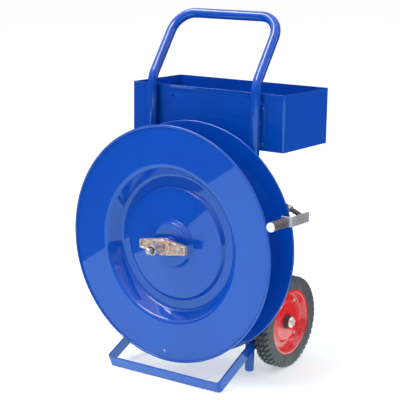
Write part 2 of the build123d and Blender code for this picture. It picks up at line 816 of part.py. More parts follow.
tab_back = guide_bar_front + guide_bar_thickness
roller_cap_back = roller_front - moving_gap
roller_cap_front = roller_cap_back - roller_cap_thickness
write(turned_ring(roller_pin_diameter, 0, tab_back, roller_cap_front + 1.5,
                  roller_axis_x, roller_axis_z), "roller_pin")
write(turned_ring(roller_spacer_diameter, roller_pin_diameter, guide_bar_front,
                  roller_rear + moving_gap, roller_axis_x, roller_axis_z), "roller_spacer")
write(turned_ring(roller_diameter, roller_pin_diameter + 2 * running_clearance, roller_rear,
                  roller_front, roller_axis_x, roller_axis_z), "guide_roller")
with BuildPart() as roller_cap:
    with BuildSketch(facing_front(roller_cap_back, roller_axis_x, roller_axis_z)):
        Circle(roller_cap_diameter / 2)
    extrude(amount=roller_cap_thickness)
    cap_rim = roller_cap.edges().filter_by(GeomType.CIRCLE).sort_by(-reel_axis)[0]
    fillet(cap_rim, radius=1.5)
    with BuildSketch(facing_front(roller_cap_back, roller_axis_x, roller_axis_z)):
        Circle(roller_pin_diameter / 2)
    extrude(amount=roller_cap_thickness - 1.5, mode=Mode.SUBTRACT)
write(roller_cap, "roller_cap")

# The lever meets the drum where a turn about the pivot moves the pad straight off it.
pivot_rise = pivot_height - reel_height
pivot_distance = hypot(post_x, pivot_rise)
pad_angle = degrees(atan2(pivot_rise, post_x) - acos(drum_r / pivot_distance))
pad_inner_r = drum_r + pad_gap
shoe_inner_r = pad_inner_r + pad_thickness
shoe_outer_r = shoe_inner_r + shoe_thickness
pad_back = arm_plane + pad_width / 2


def drum_sector(inner_r, outer_r):
    """Curved block over the drum, as wide as the pad and centred on the pad's angle."""
    with BuildPart() as block:
        with BuildSketch(facing_front(pad_back, 0, reel_height)):
            with BuildLine():
                outer = CenterArc((0, 0), outer_r, pad_angle - shoe_half_angle, 2 * shoe_half_angle)
                inner = CenterArc((0, 0), inner_r, pad_angle - shoe_half_angle, 2 * shoe_half_angle)
                Line(outer @ 0, inner @ 0)
                Line(outer @ 1, inner @ 1)
            make_face()
        extrude(amount=pad_width)
    return block


write(drum_sector(pad_inner_r, shoe_inner_r), "brake_pad")
write(drum_sector(shoe_inner_r, shoe_outer_r), "brake_shoe")

lever_end = Vector(shoe_outer_r + lever_width / 2, 0).rotate(Axis.Z, pad_angle)
with BuildPart() as brake_lever:
    with BuildSketch(facing_front(arm_plane + lever_thickness / 2, 0, reel_height)):
        with BuildLine():
            Line((post_x, pivot_rise), (lever_end.X, lever_end.Y))
        trace(line_width=lever_width)
        with Locations((lever_end.X, lever_end.Y)):
            Circle(lever_width / 2)
        Circle(shoe_outer_r, mode=Mode.SUBTRACT)
        with Locations((post_x, pivot_rise)):
            Circle(sleeve_od / 2, mode=Mode.SUBTRACT)
    extrude(amount=lever_thickness)
    with BuildSketch(rod_plane):
        Circle(rod_diameter / 2)
    extrude(amount=pivot_reach, mode=Mode.SUBTRACT)
write(brake_lever, "brake_lever")

# ---- Return spring between the arm's rod and a lug on the right post ----------------------------------

spring_x = post_x + spring_offset
rod_drop = (pivot_height - rod_end_height) / pivot_reach
leg_offset = spring_diameter / 2 - spring_wire / 2
rod_underside = (pivot_height - (spring_offset + leg_offset + spring_wire) * rod_drop
                 - rod_diameter / 2 / cos(radians(rod_fall)))
lug_back = -tube_r
lug_front = lug_back - lug_thickness
with BuildPart() as spring_lug:
    with BuildSketch(facing_front(lug_back, post_x - tube_r + (tube_od + spring_offset) / 2, lug_height)):
        Rectangle(tube_od + spring_offset, lug_width)
    extrude(amount=lug_thickness)
    with BuildSketch(facing_front(lug_front, spring_x, lug_height)):
        Circle(spring_pin_diameter / 2)
    extrude(amount=lug_front - arm_plane + spring_diameter / 2)
write(spring_lug, "spring_lug")

# Close-wound extension spring, drawn as its outer shape with the two hooks' legs
spring_low = lug_height + spring_pin_diameter / 2
coil_low = spring_low + 10.0
coil_high = rod_underside - 12.0
with BuildPart() as brake_spring:
    with BuildSketch(level(coil_low, spring_x, arm_plane)):
        Circle(spring_diameter / 2)
        Circle(spring_diameter / 2 - spring_wire, mode=Mode.SUBTRACT)
    extrude(amount=coil_high - coil_low)
    for start, end in ((spring_low, coil_low), (coil_high, rod_underside)):
        with BuildSketch(level(start, spring_x + leg_offset, arm_plane)):
            Circle(spring_wire / 2)
        extrude(amount=end - start)
write(brake_spring, "brake_spring")
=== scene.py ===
"""Visual model of a two-wheeled cart that carries, pays out and brakes a coil of strapping.

Sizes are in millimetres in the makers' own frames: the mast's leaning frame and the floor's.
"""
from __future__ import annotations

import json
import logging
import math
from dataclasses import dataclass, field
from enum import Enum
from typing import Sequence

import bpy
import numpy as np
from mathutils import Matrix, Vector
from numpy.typing import ArrayLike, NDArray

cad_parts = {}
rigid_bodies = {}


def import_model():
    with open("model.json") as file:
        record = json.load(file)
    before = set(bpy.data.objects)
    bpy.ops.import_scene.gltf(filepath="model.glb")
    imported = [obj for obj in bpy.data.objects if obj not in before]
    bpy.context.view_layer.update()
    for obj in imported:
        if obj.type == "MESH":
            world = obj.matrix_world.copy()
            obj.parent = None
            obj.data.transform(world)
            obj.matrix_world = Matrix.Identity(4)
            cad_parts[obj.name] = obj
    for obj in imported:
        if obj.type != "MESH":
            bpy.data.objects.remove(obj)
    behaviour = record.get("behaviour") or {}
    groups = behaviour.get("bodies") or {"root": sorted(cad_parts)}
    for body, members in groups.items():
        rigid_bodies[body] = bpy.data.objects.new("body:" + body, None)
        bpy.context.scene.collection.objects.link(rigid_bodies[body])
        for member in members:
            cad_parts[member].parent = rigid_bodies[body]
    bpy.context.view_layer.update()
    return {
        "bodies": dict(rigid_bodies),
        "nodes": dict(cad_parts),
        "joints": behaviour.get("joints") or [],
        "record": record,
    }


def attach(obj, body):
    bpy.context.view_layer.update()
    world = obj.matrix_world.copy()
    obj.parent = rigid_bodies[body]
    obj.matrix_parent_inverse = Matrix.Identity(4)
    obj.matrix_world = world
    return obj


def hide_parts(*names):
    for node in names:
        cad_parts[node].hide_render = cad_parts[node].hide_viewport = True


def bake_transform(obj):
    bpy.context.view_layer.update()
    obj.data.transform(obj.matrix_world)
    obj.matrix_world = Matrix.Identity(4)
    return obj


Array = NDArray[np.float64]
LOG = logging.getLogger("strapping_cart")
MM = 0.001
FORWARD = (0.0, -1.0, 0.0)
UPWARD = (0.0, 0.0, 1.0)


class Slot(Enum):
    """The record's material slots."""

    BLUE = "blue_paint"
    ZINC = "zinc_steel"
    CAP = "bright_cap"
    CAST = "cast_nut"
    BAR = "bar_steel"
    BLACK = "black_steel"
    LINING = "brake_lining"
    ROLLER = "roller_plastic"
    BRONZE = "bronze_bush"
    NYLON = "wheel_nylon"
    RED = "red_paint"
    TYRE = "tyre_rubber"


class Hand(Enum):
    """Which side of the cart a part is on, as the sign of its X."""

    LEFT = -1
    RIGHT = 1

    @property
    def word(self) -> str:
        """Name of the side in lower case."""
        return self.name.lower()


# ---- Surfaces ---------------------------------------------------------------------------------


def unit(vectors: ArrayLike) -> Array:
    """Vectors scaled to a length of one along their last axis."""
    found = np.asarray(vectors, float)
    return found / np.linalg.norm(found, axis=-1, keepdims=True)


@dataclass
class Shell:
    """Points and faces of one closed surface, in a maker's frame."""

    points: Array
    quads: NDArray[np.int64]
    fans: NDArray[np.int64]

    def outward(self) -> "Shell":
        """Same shell with its faces turned so that the volume it holds is positive."""
        triangles = np.concatenate([self.quads[:, [0, 1, 2]], self.quads[:, [0, 2, 3]], self.fans])
        a, b, c = (self.points[triangles[:, k]] for k in range(3))
        if np.einsum("ij,ij->i", a, np.cross(b, c)).sum() < 0:
            return Shell(self.points, self.quads[:, ::-1], self.fans[:, ::-1])
        return self


def grid_shell(grid: Array, closed: bool, ends: Sequence[Array] = ()) -> Shell:
    """Surface over a grid whose columns always join up.

    Args:
        grid: Points by row and column.
        closed: Whether the last row joins the first.
        ends: Centre points of the first and last rows, where they close with a fan.

    Returns:
        The shell, facing outwards.
    """
    rows, columns = grid.shape[:2]
    row = np.arange(rows if closed else rows - 1)[:, None]
    column = np.arange(columns)[None, :]
    after, beside = (row + 1) % rows, (column + 1) % columns
    corners = [row * columns + column, after * columns + column,
               after * columns + beside, row * columns + beside]
    quads = np.stack(corners, -1).reshape(-1, 4)
    points = grid.reshape(-1, 3)
    fans = np.zeros((0, 3), int)
    if len(ends):
        ring, following = np.arange(columns), (np.arange(columns) + 1) % columns
        last = (rows - 1) * columns
        first_fan = np.stack([np.full(columns, len(points)), ring, following], -1)
        last_fan = np.stack([np.full(columns, len(points) + 1), last + following, last + ring], -1)
        fans = np.concatenate([first_fan, last_fan])
        points = np.concatenate([points, np.asarray(ends, float)])
    return Shell(points, quads, fans).outward()


def rounded(corners: ArrayLike, radii: float | Sequence[float], closed: bool = False,
            steps: int = 5) -> Array:
    """Straight runs joined by arcs that touch both of their neighbours.

    Args:
        corners: Corner points, two or three numbers each.
        radii: One radius, or one for each corner that is turned.
        closed: Whether the last corner joins the first.
        steps: Parts of each arc.

    Returns:
        Points along the line.
    """
    corners = np.asarray(corners, float)
    count = len(corners)
    turned_corners = range(count) if closed else range(1, count - 1)
    parts = [] if closed else [corners[:1]]
    for index, radius in zip(turned_corners, np.broadcast_to(radii, len(turned_corners))):
        corner = corners[index]
        way_in = unit(corner - corners[index - 1])
        way_out = unit(corners[(index + 1) % count] - corner)
        turn = math.acos(float(np.clip(way_in @ way_out, -1, 1)))
        if turn < 1e-4 or radius <= 0:
            parts.append(corner[None])
            continue
        bend = unit(way_out - math.cos(turn) * way_in)
        angle = np.linspace(0, turn, steps + 1)[:, None]
        start = corner - radius * math.tan(turn / 2) * way_in
        parts.append(start + radius * (np.sin(angle) * way_in + (1 - np.cos(angle)) * bend))
    if not closed:
        parts.append(corners[-1:])
    return np.concatenate(parts)


def held(line: Array, closed: bool, margin: float = 0.4) -> Array:
    """Line with points added just inside the ends of its long runs, which keep flats flat.

    A run is long if it is over half as long again as the shorter run beside it.

    Args:
        line: Points of the line.
        closed: Whether the last point joins the first.
        margin: Distance of an added point from the run's end.

    Returns:
        The fuller line.
    """
    following = np.roll(line, -1, 0)
    runs = following - line
    length = np.linalg.norm(runs, axis=1)
    beside = np.minimum(np.roll(length, 1), np.roll(length, -1))
    full = (length > 3 * margin) & (length > 1.5 * beside)
    share = (margin / np.maximum(length, 1e-9))[:, None]
    points = np.stack([line, line + share * runs, following - share * runs], 1)
    keep = np.stack([np.ones(len(line), bool), full, full], 1)
    if not closed:
        keep[-1, 1:] = False
    return points[keep]


def turned(profile: ArrayLike, centre: ArrayLike, axis: ArrayLike, count: int = 96,
           turns: Array | None = None) -> Shell:
    """Surface of revolution: a point at (radius, distance) goes round the axis.

    Args:
        profile: Points of radius and distance; one that starts and ends on the axis is closed
            by two fans, and any other joins end to end.
        centre: Point on the axis from which distance is measured.
        axis: Direction of distance.
        count: Points round the axis.
        turns: Growth of the radius by row and column, such as a thread's.

    Returns:
        The shell.
    """
    profile, centre, axis = np.asarray(profile, float), np.asarray(centre, float), unit(axis)
    first = unit(np.cross(axis, (0.3, 0.9, 0.2)))
    second = np.cross(axis, first)
    angle = np.arange(count) * 2 * math.pi / count
    ring = np.cos(angle)[:, None] * first + np.sin(angle)[:, None] * second
    solid = profile[0, 0] < 1e-6 and profile[-1, 0] < 1e-6
    inner = profile[1:-1] if solid else profile
    if turns is None:
        inner = held(inner, not solid)
    radius = inner[:, 0][:, None] + (0 if turns is None else turns)
    radius = np.broadcast_to(radius, (len(inner), count))
    grid = centre + inner[:, 1][:, None, None] * axis + radius[..., None] * ring
    ends = [centre + profile[k, 1] * axis for k in (0, -1)] if solid else ()
    return grid_shell(grid, not solid, ends)


def swept(path: ArrayLike, section: Array, normal: ArrayLike, closed: bool = False,
          growth: Array | None = None) -> Shell:
    """Section carried along a path.

    The section's first number runs along tangent cross normal, and its second along what is
    left of the normal square to the path.

    Args:
        path: Points of the path.
        section: Closed outline of two numbers a point.
        normal: Direction that the path never runs along.
        closed: Whether the path joins up.
        growth: Factor on the section at each point of the path.

    Returns:
        The shell, with fans at its ends if the path is open.
    """
    path, section = np.asarray(path, float), held(section, True)
    step = unit(np.roll(path, -1, 0) - path) if closed else unit(np.diff(path, axis=0))
    before = np.roll(step, 1, 0) if closed else np.concatenate([step[:1], step])
    after = step if closed else np.concatenate([step, step[-1:]])
    tangent = unit(before + after)
    side = unit(np.cross(tangent, np.broadcast_to(normal, tangent.shape)))
    rise = np.cross(side, tangent)
    factor = np.ones(len(path)) if growth is None else growth
    flat = section[None, :, 0, None] * side[:, None] + section[None, :, 1, None] * rise[:, None]
    grid = path[:, None] + factor[:, None, None] * flat
    return grid_shell(grid, closed, () if closed else [path[0], path[-1]])


def circle(radius: float, count: int = 24) -> Array:
    """Closed circle of two numbers a point."""
    angle = np.arange(count) * 2 * math.pi / count
    return radius * np.stack([np.cos(angle), np.sin(angle)], -1)


def soft_box(width: float, height: float, radius: float, steps: int = 4) -> Array:
    """Closed rectangle about the origin with its corners rounded."""
    x, y = width / 2, height / 2
    return rounded([(-x, -y), (x, -y), (x, y), (-x, y)], radius, closed=True, steps=steps)


def solid_bar(radius: float, start: float, end: float, soft: float) -> Array:
    """Profile of a round bar between two distances, with softened ends."""
    return rounded([(0, start), (radius, start), (radius, end), (0, end)], soft)


def ring_bar(outer: float, inner: float, start: float, end: float, soft: float) -> Array:
    """Closed profile of a ring between two radii and two distances, with softened edges."""
    return rounded([(inner, start), (outer, start), (outer, end), (inner, end)], soft, closed=True,
                   steps=4)


def step_up(value: Array | float, low: float, high: float) -> Array:
    """Smooth rise from 0 at low to 1 at high: three squares less two cubes."""
    part = np.clip((np.asarray(value, float) - low) / (high - low), 0, 1)
    return part * part * (3 - 2 * part)


def weld_bead(path: ArrayLike, size: float, normal: ArrayLike, closed: bool, seed: int) -> Shell:
    """Row of overlapping weld ripples along a path.

    The bead's radius swells as the absolute sine of the distance along it, with a little
    seeded unevenness.

    Args:
        path: Corner points of the seam.
        size: Radius of the bead.
        normal: Direction that the seam never runs along.
        closed: Whether the seam joins up.
        seed: Seed of its unevenness.

    Returns:
        The shell.
    """
    path = np.asarray(path, float)
    loop = np.concatenate([path, path[:1]]) if closed else path
    reach = np.concatenate([[0], np.cumsum(np.linalg.norm(np.diff(loop, axis=0), axis=1))])
    count = max(8, int(reach[-1] / (0.28 * size)))
    at = np.linspace(0, reach[-1], count, endpoint=not closed)
    fine = np.stack([np.interp(at, reach, loop[:, k]) for k in range(3)], -1)
    ripples = max(1, round(reach[-1] / (1.3 * size)))
    uneven = np.random.default_rng(seed).normal(0, 0.05, ripples + 1)
    wave = 0.86 + 0.2 * np.abs(np.sin(math.pi * at / reach[-1] * ripples))
    wave += np.interp(at / reach[-1] * ripples, np.arange(ripples + 1), uneven)
    if not closed:
        wave *= 0.35 + 0.65 * step_up(np.minimum(at, reach[-1] - at), 0, 1.6 * size)
    return swept(fine, circle(size, 10), normal, closed, wave)


# ---- Finishes ------------------------------------------------------------------------------------


class Relief(Enum):
    """Fine relief of a finish: what its bump follows."""

    POWDER_COAT = "powder coat"
    ENAMEL = "enamel"
    TURNED = "turned"
    DRAWN = "drawn"
    CAST = "cast"
    MOULDED = "moulded"


@dataclass(frozen=True)
class Finish:
    """One finish, with everything that its material needs."""

    slot: Slot
    base: tuple[float, float, float]
    other: tuple[float, float, float]
    relief: Relief
    metallic: float = 0.0
    roughness: float = 0.3
    rough_span: float = 0.08
    coat: float = 0.0
    coat_roughness: float = 0.05
    patch_size: float = 0.05
    grain_size: float = 0.002
    grain_depth: float = 0.00001
    marks: float = 0.0
    dust: float = 0.0
    specular: float = 0.5


FINISHES = (
    Finish(Slot.BLUE, (0.0, 0.062, 0.425), (0.0, 0.056, 0.395), Relief.POWDER_COAT,
           roughness=0.30, rough_span=0.07, coat=1.0, coat_roughness=0.025, patch_size=0.16,
           grain_size=0.0022, grain_depth=0.000006, specular=0.08),
    Finish(Slot.ZINC, (0.70, 0.60, 0.56), (0.54, 0.46, 0.44), Relief.TURNED, metallic=0.72,
           roughness=0.24, rough_span=0.16, patch_size=0.012, grain_size=0.0008,
           grain_depth=0.000006, marks=0.25),
    Finish(Slot.CAP, (0.84, 0.76, 0.74), (0.72, 0.65, 0.63), Relief.TURNED, metallic=0.45,
           roughness=0.14, rough_span=0.10, patch_size=0.010, grain_size=0.0006,
           grain_depth=0.000004, marks=0.2),
    Finish(Slot.CAST, (0.74, 0.53, 0.46), (0.36, 0.24, 0.21), Relief.CAST, metallic=0.55,
           roughness=0.28, rough_span=0.20, patch_size=0.011, grain_size=0.0018,
           grain_depth=0.00007, marks=0.2),
    Finish(Slot.BAR, (0.48, 0.46, 0.50), (0.37, 0.35, 0.38), Relief.DRAWN, metallic=0.5,
           roughness=0.36, rough_span=0.14, patch_size=0.02, grain_size=0.0010,
           grain_depth=0.00001, marks=0.4),
    Finish(Slot.BLACK, (0.030, 0.028, 0.030), (0.055, 0.052, 0.053), Relief.DRAWN, metallic=0.3,
           roughness=0.32, rough_span=0.16, patch_size=0.02, grain_size=0.0012,
           grain_depth=0.000012, marks=0.3),
    Finish(Slot.LINING, (0.085, 0.065, 0.055), (0.14, 0.11, 0.08), Relief.CAST, roughness=0.85,
           patch_size=0.004, grain_size=0.0012, grain_depth=0.00008, dust=0.2),
    Finish(Slot.ROLLER, (0.105, 0.088, 0.086), (0.070, 0.060, 0.060), Relief.TURNED,
           roughness=0.38, rough_span=0.12, patch_size=0.012, grain_size=0.0012,
           grain_depth=0.00002, marks=0.3),
    Finish(Slot.BRONZE, (0.55, 0.36, 0.16), (0.42, 0.27, 0.12), Relief.TURNED, metallic=1.0,
           roughness=0.35, patch_size=0.008, grain_size=0.0008, grain_depth=0.00001, marks=0.3),
    Finish(Slot.NYLON, (0.060, 0.060, 0.064), (0.044, 0.044, 0.048), Relief.MOULDED,
           roughness=0.42, patch_size=0.012, grain_size=0.0012, grain_depth=0.00002, marks=0.2),
    Finish(Slot.RED, (0.78, 0.016, 0.022), (0.68, 0.011, 0.016), Relief.ENAMEL, roughness=0.22,
           rough_span=0.06, coat=0.9, coat_roughness=0.04, patch_size=0.05, grain_size=0.003,
           grain_depth=0.00001),
    Finish(Slot.TYRE, (0.050, 0.050, 0.055), (0.068, 0.067, 0.072), Relief.MOULDED,
           roughness=0.50, rough_span=0.18, patch_size=0.03, grain_size=0.0016,
           grain_depth=0.00004, dust=0.25, specular=0.45),
)


class Nodes:
    """Short ways to add nodes to one tree."""

    def __init__(self, tree: bpy.types.NodeTree) -> None:
        """Keep the tree that nodes go into."""
        self.tree = tree

    def add(self, kind: str, settings: dict[str, object] | None = None,
            **values: object) -> bpy.types.Node:
        """Add one node.

        Args:
            kind: Blender's name of the node's type.
            settings: Properties to set on it.
            **values: Inputs by name with _ for a space: a socket to link from, or a value.

        Returns:
            The node.
        """
        node = self.tree.nodes.new(kind)
        for key, value in (settings or {}).items():
            setattr(node, key, value)
        for key, value in values.items():
            socket = node.inputs[key.replace("_", " ")]
            if isinstance(value, bpy.types.NodeSocket):
                self.tree.links.new(value, socket)
            else:
                socket.default_value = value
        return node

    def math(self, operation: str, first: object, second: object = 0.0) -> bpy.types.NodeSocket:
        """Result of one operation on two sockets or numbers."""
        node = self.tree.nodes.new("ShaderNodeMath")
        node.operation = operation
        for socket, value in zip(node.inputs, (first, second)):
            if isinstance(value, bpy.types.NodeSocket):
                self.tree.links.new(value, socket)
            else:
                socket.default_value = value
        return node.outputs[0]


class ShaderGroups:
    """Effects that several finishes share, each built once as a node group."""

    def __init__(self) -> None:
        """Build the three groups."""
        self.patches = self._patches()
        self.grain = self._grain()
        self.marks = self._marks()

    @staticmethod
    def _new(name: str, inputs: Sequence[tuple[str, str, float]], output: str
             ) -> tuple[bpy.types.NodeTree, bpy.types.Node, bpy.types.Node]:
        """Empty group with named sockets.

        Args:
            name: Name of the group.
            inputs: Name, socket type and default of each input.
            output: Name of its one number out.

        Returns:
            The group and its input and output nodes.
        """
        group = bpy.data.node_groups.new(name, "ShaderNodeTree")
        for title, kind, default in inputs:
            socket = group.interface.new_socket(name=title, in_out="INPUT", socket_type=kind)
            if kind == "NodeSocketFloat":
                socket.default_value = default
        group.interface.new_socket(name=output, in_out="OUTPUT", socket_type="NodeSocketFloat")
        return group, group.nodes.new("NodeGroupInput"), group.nodes.new("NodeGroupOutput")

    def _patches(self) -> bpy.types.NodeTree:
        """Slow cloudy mask, such as paint of uneven thickness or dulled plating."""
        group, given, out = self._new("soft_patches", [
            ("Vector", "NodeSocketVector", 0), ("Size", "NodeSocketFloat", 0.05)], "Mask")
        nodes = Nodes(group)
        scale = nodes.math("DIVIDE", 1.0, given.outputs["Size"])
        noise = nodes.add("ShaderNodeTexNoise", Vector=given.outputs["Vector"], Scale=scale,
                          Detail=3.0, Roughness=0.55)
        mask = nodes.add("ShaderNodeMapRange", {"interpolation_type": "SMOOTHSTEP"},
                         Value=noise.outputs["Fac"], From_Min=0.34, From_Max=0.66)
        group.links.new(mask.outputs["Result"], out.inputs["Mask"])
        return group

    def _grain(self) -> bpy.types.NodeTree:
        """Fine height: a broad ripple with a finer one on it."""
        group, given, out = self._new("fine_grain", [
            ("Vector", "NodeSocketVector", 0), ("Size", "NodeSocketFloat", 0.002),
            ("Fine Share", "NodeSocketFloat", 0.3)], "Height")
        nodes = Nodes(group)
        scale = nodes.math("DIVIDE", 1.0, given.outputs["Size"])
        broad = nodes.add("ShaderNodeTexNoise", Vector=given.outputs["Vector"], Scale=scale,
                          Detail=1.0)
        fine = nodes.add("ShaderNodeTexNoise", Vector=given.outputs["Vector"],
                         Scale=nodes.math("MULTIPLY", scale, 3.7), Detail=2.0)
        share = nodes.math("MULTIPLY", fine.outputs["Fac"], given.outputs["Fine Share"])
        group.links.new(nodes.math("ADD", broad.outputs["Fac"], share), out.inputs["Height"])
        return group

    def _marks(self) -> bpy.types.NodeTree:
        """Sparse thin rubs: the narrow middle band of a stretched noise."""
        group, given, out = self._new("thin_marks", [
            ("Vector", "NodeSocketVector", 0), ("Amount", "NodeSocketFloat", 0.2)], "Mask")
        nodes = Nodes(group)
        stretch = nodes.add("ShaderNodeMapping", Vector=given.outputs["Vector"],
                            Rotation=(0.5, 0.3, 0.8), Scale=(30.0, 420.0, 260.0))
        noise = nodes.add("ShaderNodeTexNoise", Vector=stretch.outputs["Vector"], Scale=1.0,
                          Detail=1.0)
        off = nodes.math("ABSOLUTE", nodes.math("SUBTRACT", noise.outputs["Fac"], 0.5))
        line = nodes.math("LESS_THAN", off, 0.012)
        where = nodes.add("ShaderNodeTexNoise", Vector=given.outputs["Vector"], Scale=28.0)
        sparse = nodes.math("GREATER_THAN", where.outputs["Fac"], 0.55)
        mask = nodes.math("MULTIPLY", nodes.math("MULTIPLY", line, sparse),
                          given.outputs["Amount"])
        group.links.new(mask, out.inputs["Mask"])
        return group


class PaintShop:
    """Makes each finish's material once and hands it out."""

    RELIEF_STRETCH = {
        Relief.POWDER_COAT: (1.0, 1.0, 1.0),
        Relief.ENAMEL: (1.0, 1.0, 1.0),
        Relief.TURNED: (0.35, 3.0, 0.35),
        Relief.DRAWN: (1.6, 0.16, 1.6),
        Relief.CAST: (1.0, 1.0, 1.0),
        Relief.MOULDED: (1.0, 1.0, 1.0),
    }

    def __init__(self) -> None:
        """Build the shared groups and every material."""
        self.groups = ShaderGroups()
        self.materials = {finish.slot: self._make(finish) for finish in FINISHES}

    def _group(self, nodes: Nodes, group: bpy.types.NodeTree, vector: bpy.types.NodeSocket,
               **values: float) -> bpy.types.NodeSocket:
        """Place a group in a material.

        Args:
            nodes: Tree to place it in.
            group: Group to place.
            vector: Coordinates it reads.
            **values: Its numbers, with _ for a space.

        Returns:
            Its one output.
        """
        placed = nodes.tree.nodes.new("ShaderNodeGroup")
        placed.node_tree = group
        nodes.tree.links.new(vector, placed.inputs["Vector"])
        for key, value in values.items():
            placed.inputs[key.replace("_", " ")].default_value = value
        return placed.outputs[0]

    def _make(self, finish: Finish) -> bpy.types.Material:
        """Material of one finish.

        Its colour goes between two shades by soft patches, with a grey dust film in cloudy places
        where the finish has dust; its roughness follows the patches and the marks, and its bump is the fine
        grain.

        Args:
            finish: What to make.

        Returns:
            The material.
        """
        material = bpy.data.materials.new(finish.slot.value)
        material.use_nodes = True
        tree = material.node_tree
        tree.nodes.clear()
        nodes = Nodes(tree)
        place = nodes.add("ShaderNodeTexCoord").outputs["Object"]
        patches = self._group(nodes, self.groups.patches, place, Size=finish.patch_size)
        marks = self._group(nodes, self.groups.marks, place, Amount=finish.marks)
        shade = nodes.add("ShaderNodeMix", {"data_type": "RGBA"})
        tree.links.new(patches, shade.inputs[0])
        shade.inputs[6].default_value = (*finish.base, 1)
        shade.inputs[7].default_value = (*finish.other, 1)
        colour = shade.outputs[2]
        if finish.dust:
            colour = self._dusted(nodes, place, colour, finish.dust)
        worn = nodes.add("ShaderNodeMapRange", Value=patches, To_Min=finish.roughness,
                         To_Max=finish.roughness + finish.rough_span)
        roughness = nodes.math("ADD", worn.outputs["Result"], nodes.math("MULTIPLY", marks, 0.35))
        stretch = nodes.add("ShaderNodeMapping", Vector=place,
                            Scale=self.RELIEF_STRETCH[finish.relief])
        height = self._group(nodes, self.groups.grain, stretch.outputs["Vector"],
                             Size=finish.grain_size, Fine_Share=0.35)
        bump = nodes.add("ShaderNodeBump", Height=height, Distance=finish.grain_depth,
                         Strength=1.0)
        shader = nodes.add("ShaderNodeBsdfPrincipled", Base_Color=colour, Roughness=roughness,
                           Metallic=finish.metallic, Normal=bump.outputs["Normal"],
                           Coat_Weight=finish.coat, Coat_Roughness=finish.coat_roughness,
                           Specular_IOR_Level=finish.specular)
        out = nodes.add("ShaderNodeOutputMaterial")
        tree.links.new(shader.outputs[0], out.inputs["Surface"])
        return material

    def _dusted(self, nodes: Nodes, place: bpy.types.NodeSocket, colour: bpy.types.NodeSocket,
                amount: float) -> bpy.types.NodeSocket:
        """Colour with a thin grey film in cloudy places, at most amount of it."""
        film = self._group(nodes, self.groups.patches, place, Size=0.021)
        mix = nodes.add("ShaderNodeMix", {"data_type": "RGBA"})
        nodes.tree.links.new(nodes.math("MULTIPLY", film, amount), mix.inputs[0])
        nodes.tree.links.new(colour, mix.inputs[6])
        mix.inputs[7].default_value = (0.15, 0.15, 0.155, 1)
        return mix.outputs[2]


# ---- Placing pieces ----------------------------------------------------------------------------------


@dataclass(frozen=True)
class MakersFrame:
    """A maker's frame in the shared one: origin in metres and three directions."""

    origin: tuple[float, float, float]
    rearward: tuple[float, float, float] = (0.0, 1.0, 0.0)
    upward: tuple[float, float, float] = (0.0, 0.0, 1.0)

    def place(self, points: ArrayLike) -> Array:
        """Shared-frame points in metres of this frame's points in millimetres."""
        axes = np.array([(1.0, 0.0, 0.0), self.rearward, self.upward])
        return np.asarray(self.origin) + MM * np.asarray(points, float) @ axes


@dataclass
class Workshop:
    """Turns shells into dressed Blender pieces that ride on the cart's bodies."""

    mast: MakersFrame
    floor: MakersFrame
    paint: PaintShop
    nodes: dict[str, bpy.types.Object]
    made: int = 0

    def piece(self, name: str, shells: Sequence[Shell], slot: Slot, body: str,
              replaces: Sequence[str] = (), crease: float = 38.0,
              frame: MakersFrame | None = None) -> bpy.types.Object:
        """Make one piece.

        Args:
            name: Name of the piece.
            shells: Its closed surfaces.
            slot: Finish that it takes.
            body: CAD body that it rides on, or nothing if it is blended later.
            replaces: CAD nodes that it stands for.
            crease: Angle in degrees past which an edge stays sharp.
            frame: Frame of its points, the mast's unless given.

        Returns:
            The object.
        """
        start, points, faces = 0, [], []
        for shell in shells:
            points.append(shell.points)
            faces += (shell.quads + start).tolist() + (shell.fans + start).tolist()
            start += len(shell.points)
        mesh = bpy.data.meshes.new(name)
        mesh.from_pydata((frame or self.mast).place(np.concatenate(points)).tolist(), [], faces)
        mesh.polygons.foreach_set("use_smooth", np.ones(len(mesh.polygons), bool))
        mesh.set_sharp_from_angle(angle=math.radians(crease))
        mesh.materials.append(self.paint.materials[slot])
        mesh.update()
        made = bpy.data.objects.new(name, mesh)
        bpy.context.scene.collection.objects.link(made)
        if body:
            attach(made, body)
        if replaces:
            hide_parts(*replaces)
        self.made += 1
        LOG.info("%s: %d faces", name, len(mesh.polygons))
        return made

    def drill(self, piece: bpy.types.Object, cutter: Shell) -> None:
        """Take a shell's volume out of a piece, as a Boolean that is applied at once."""
        mesh = bpy.data.meshes.new("cutter")
        mesh.from_pydata(self.mast.place(cutter.points).tolist(), [],
                         cutter.quads.tolist() + cutter.fans.tolist())
        tool = bpy.data.objects.new("cutter", mesh)
        bpy.context.scene.collection.objects.link(tool)
        cut = piece.modifiers.new("drilled", "BOOLEAN")
        cut.object, cut.operation, cut.solver = tool, "DIFFERENCE", "EXACT"
        shown = piece.evaluated_get(bpy.context.evaluated_depsgraph_get())
        drilled = bpy.data.meshes.new_from_object(shown)
        piece.modifiers.clear()
        piece.data = drilled
        bpy.data.objects.remove(tool)

    def dress_frame_nodes(self, subparts: Sequence[dict[str, str]]) -> None:
        """Give each CAD node that still shows the material of its slot."""
        for part in subparts:
            node = self.nodes[part["node"]]
            if node.hide_render:
                continue
            node.data.materials.clear()
            node.data.materials.append(self.paint.materials[Slot(part["material_slot"])])
            LOG.info("%s: kept from the frame as %s", part["node"], part["material_slot"])


# ---- The cart -----------------------------------------------------------------------------------------


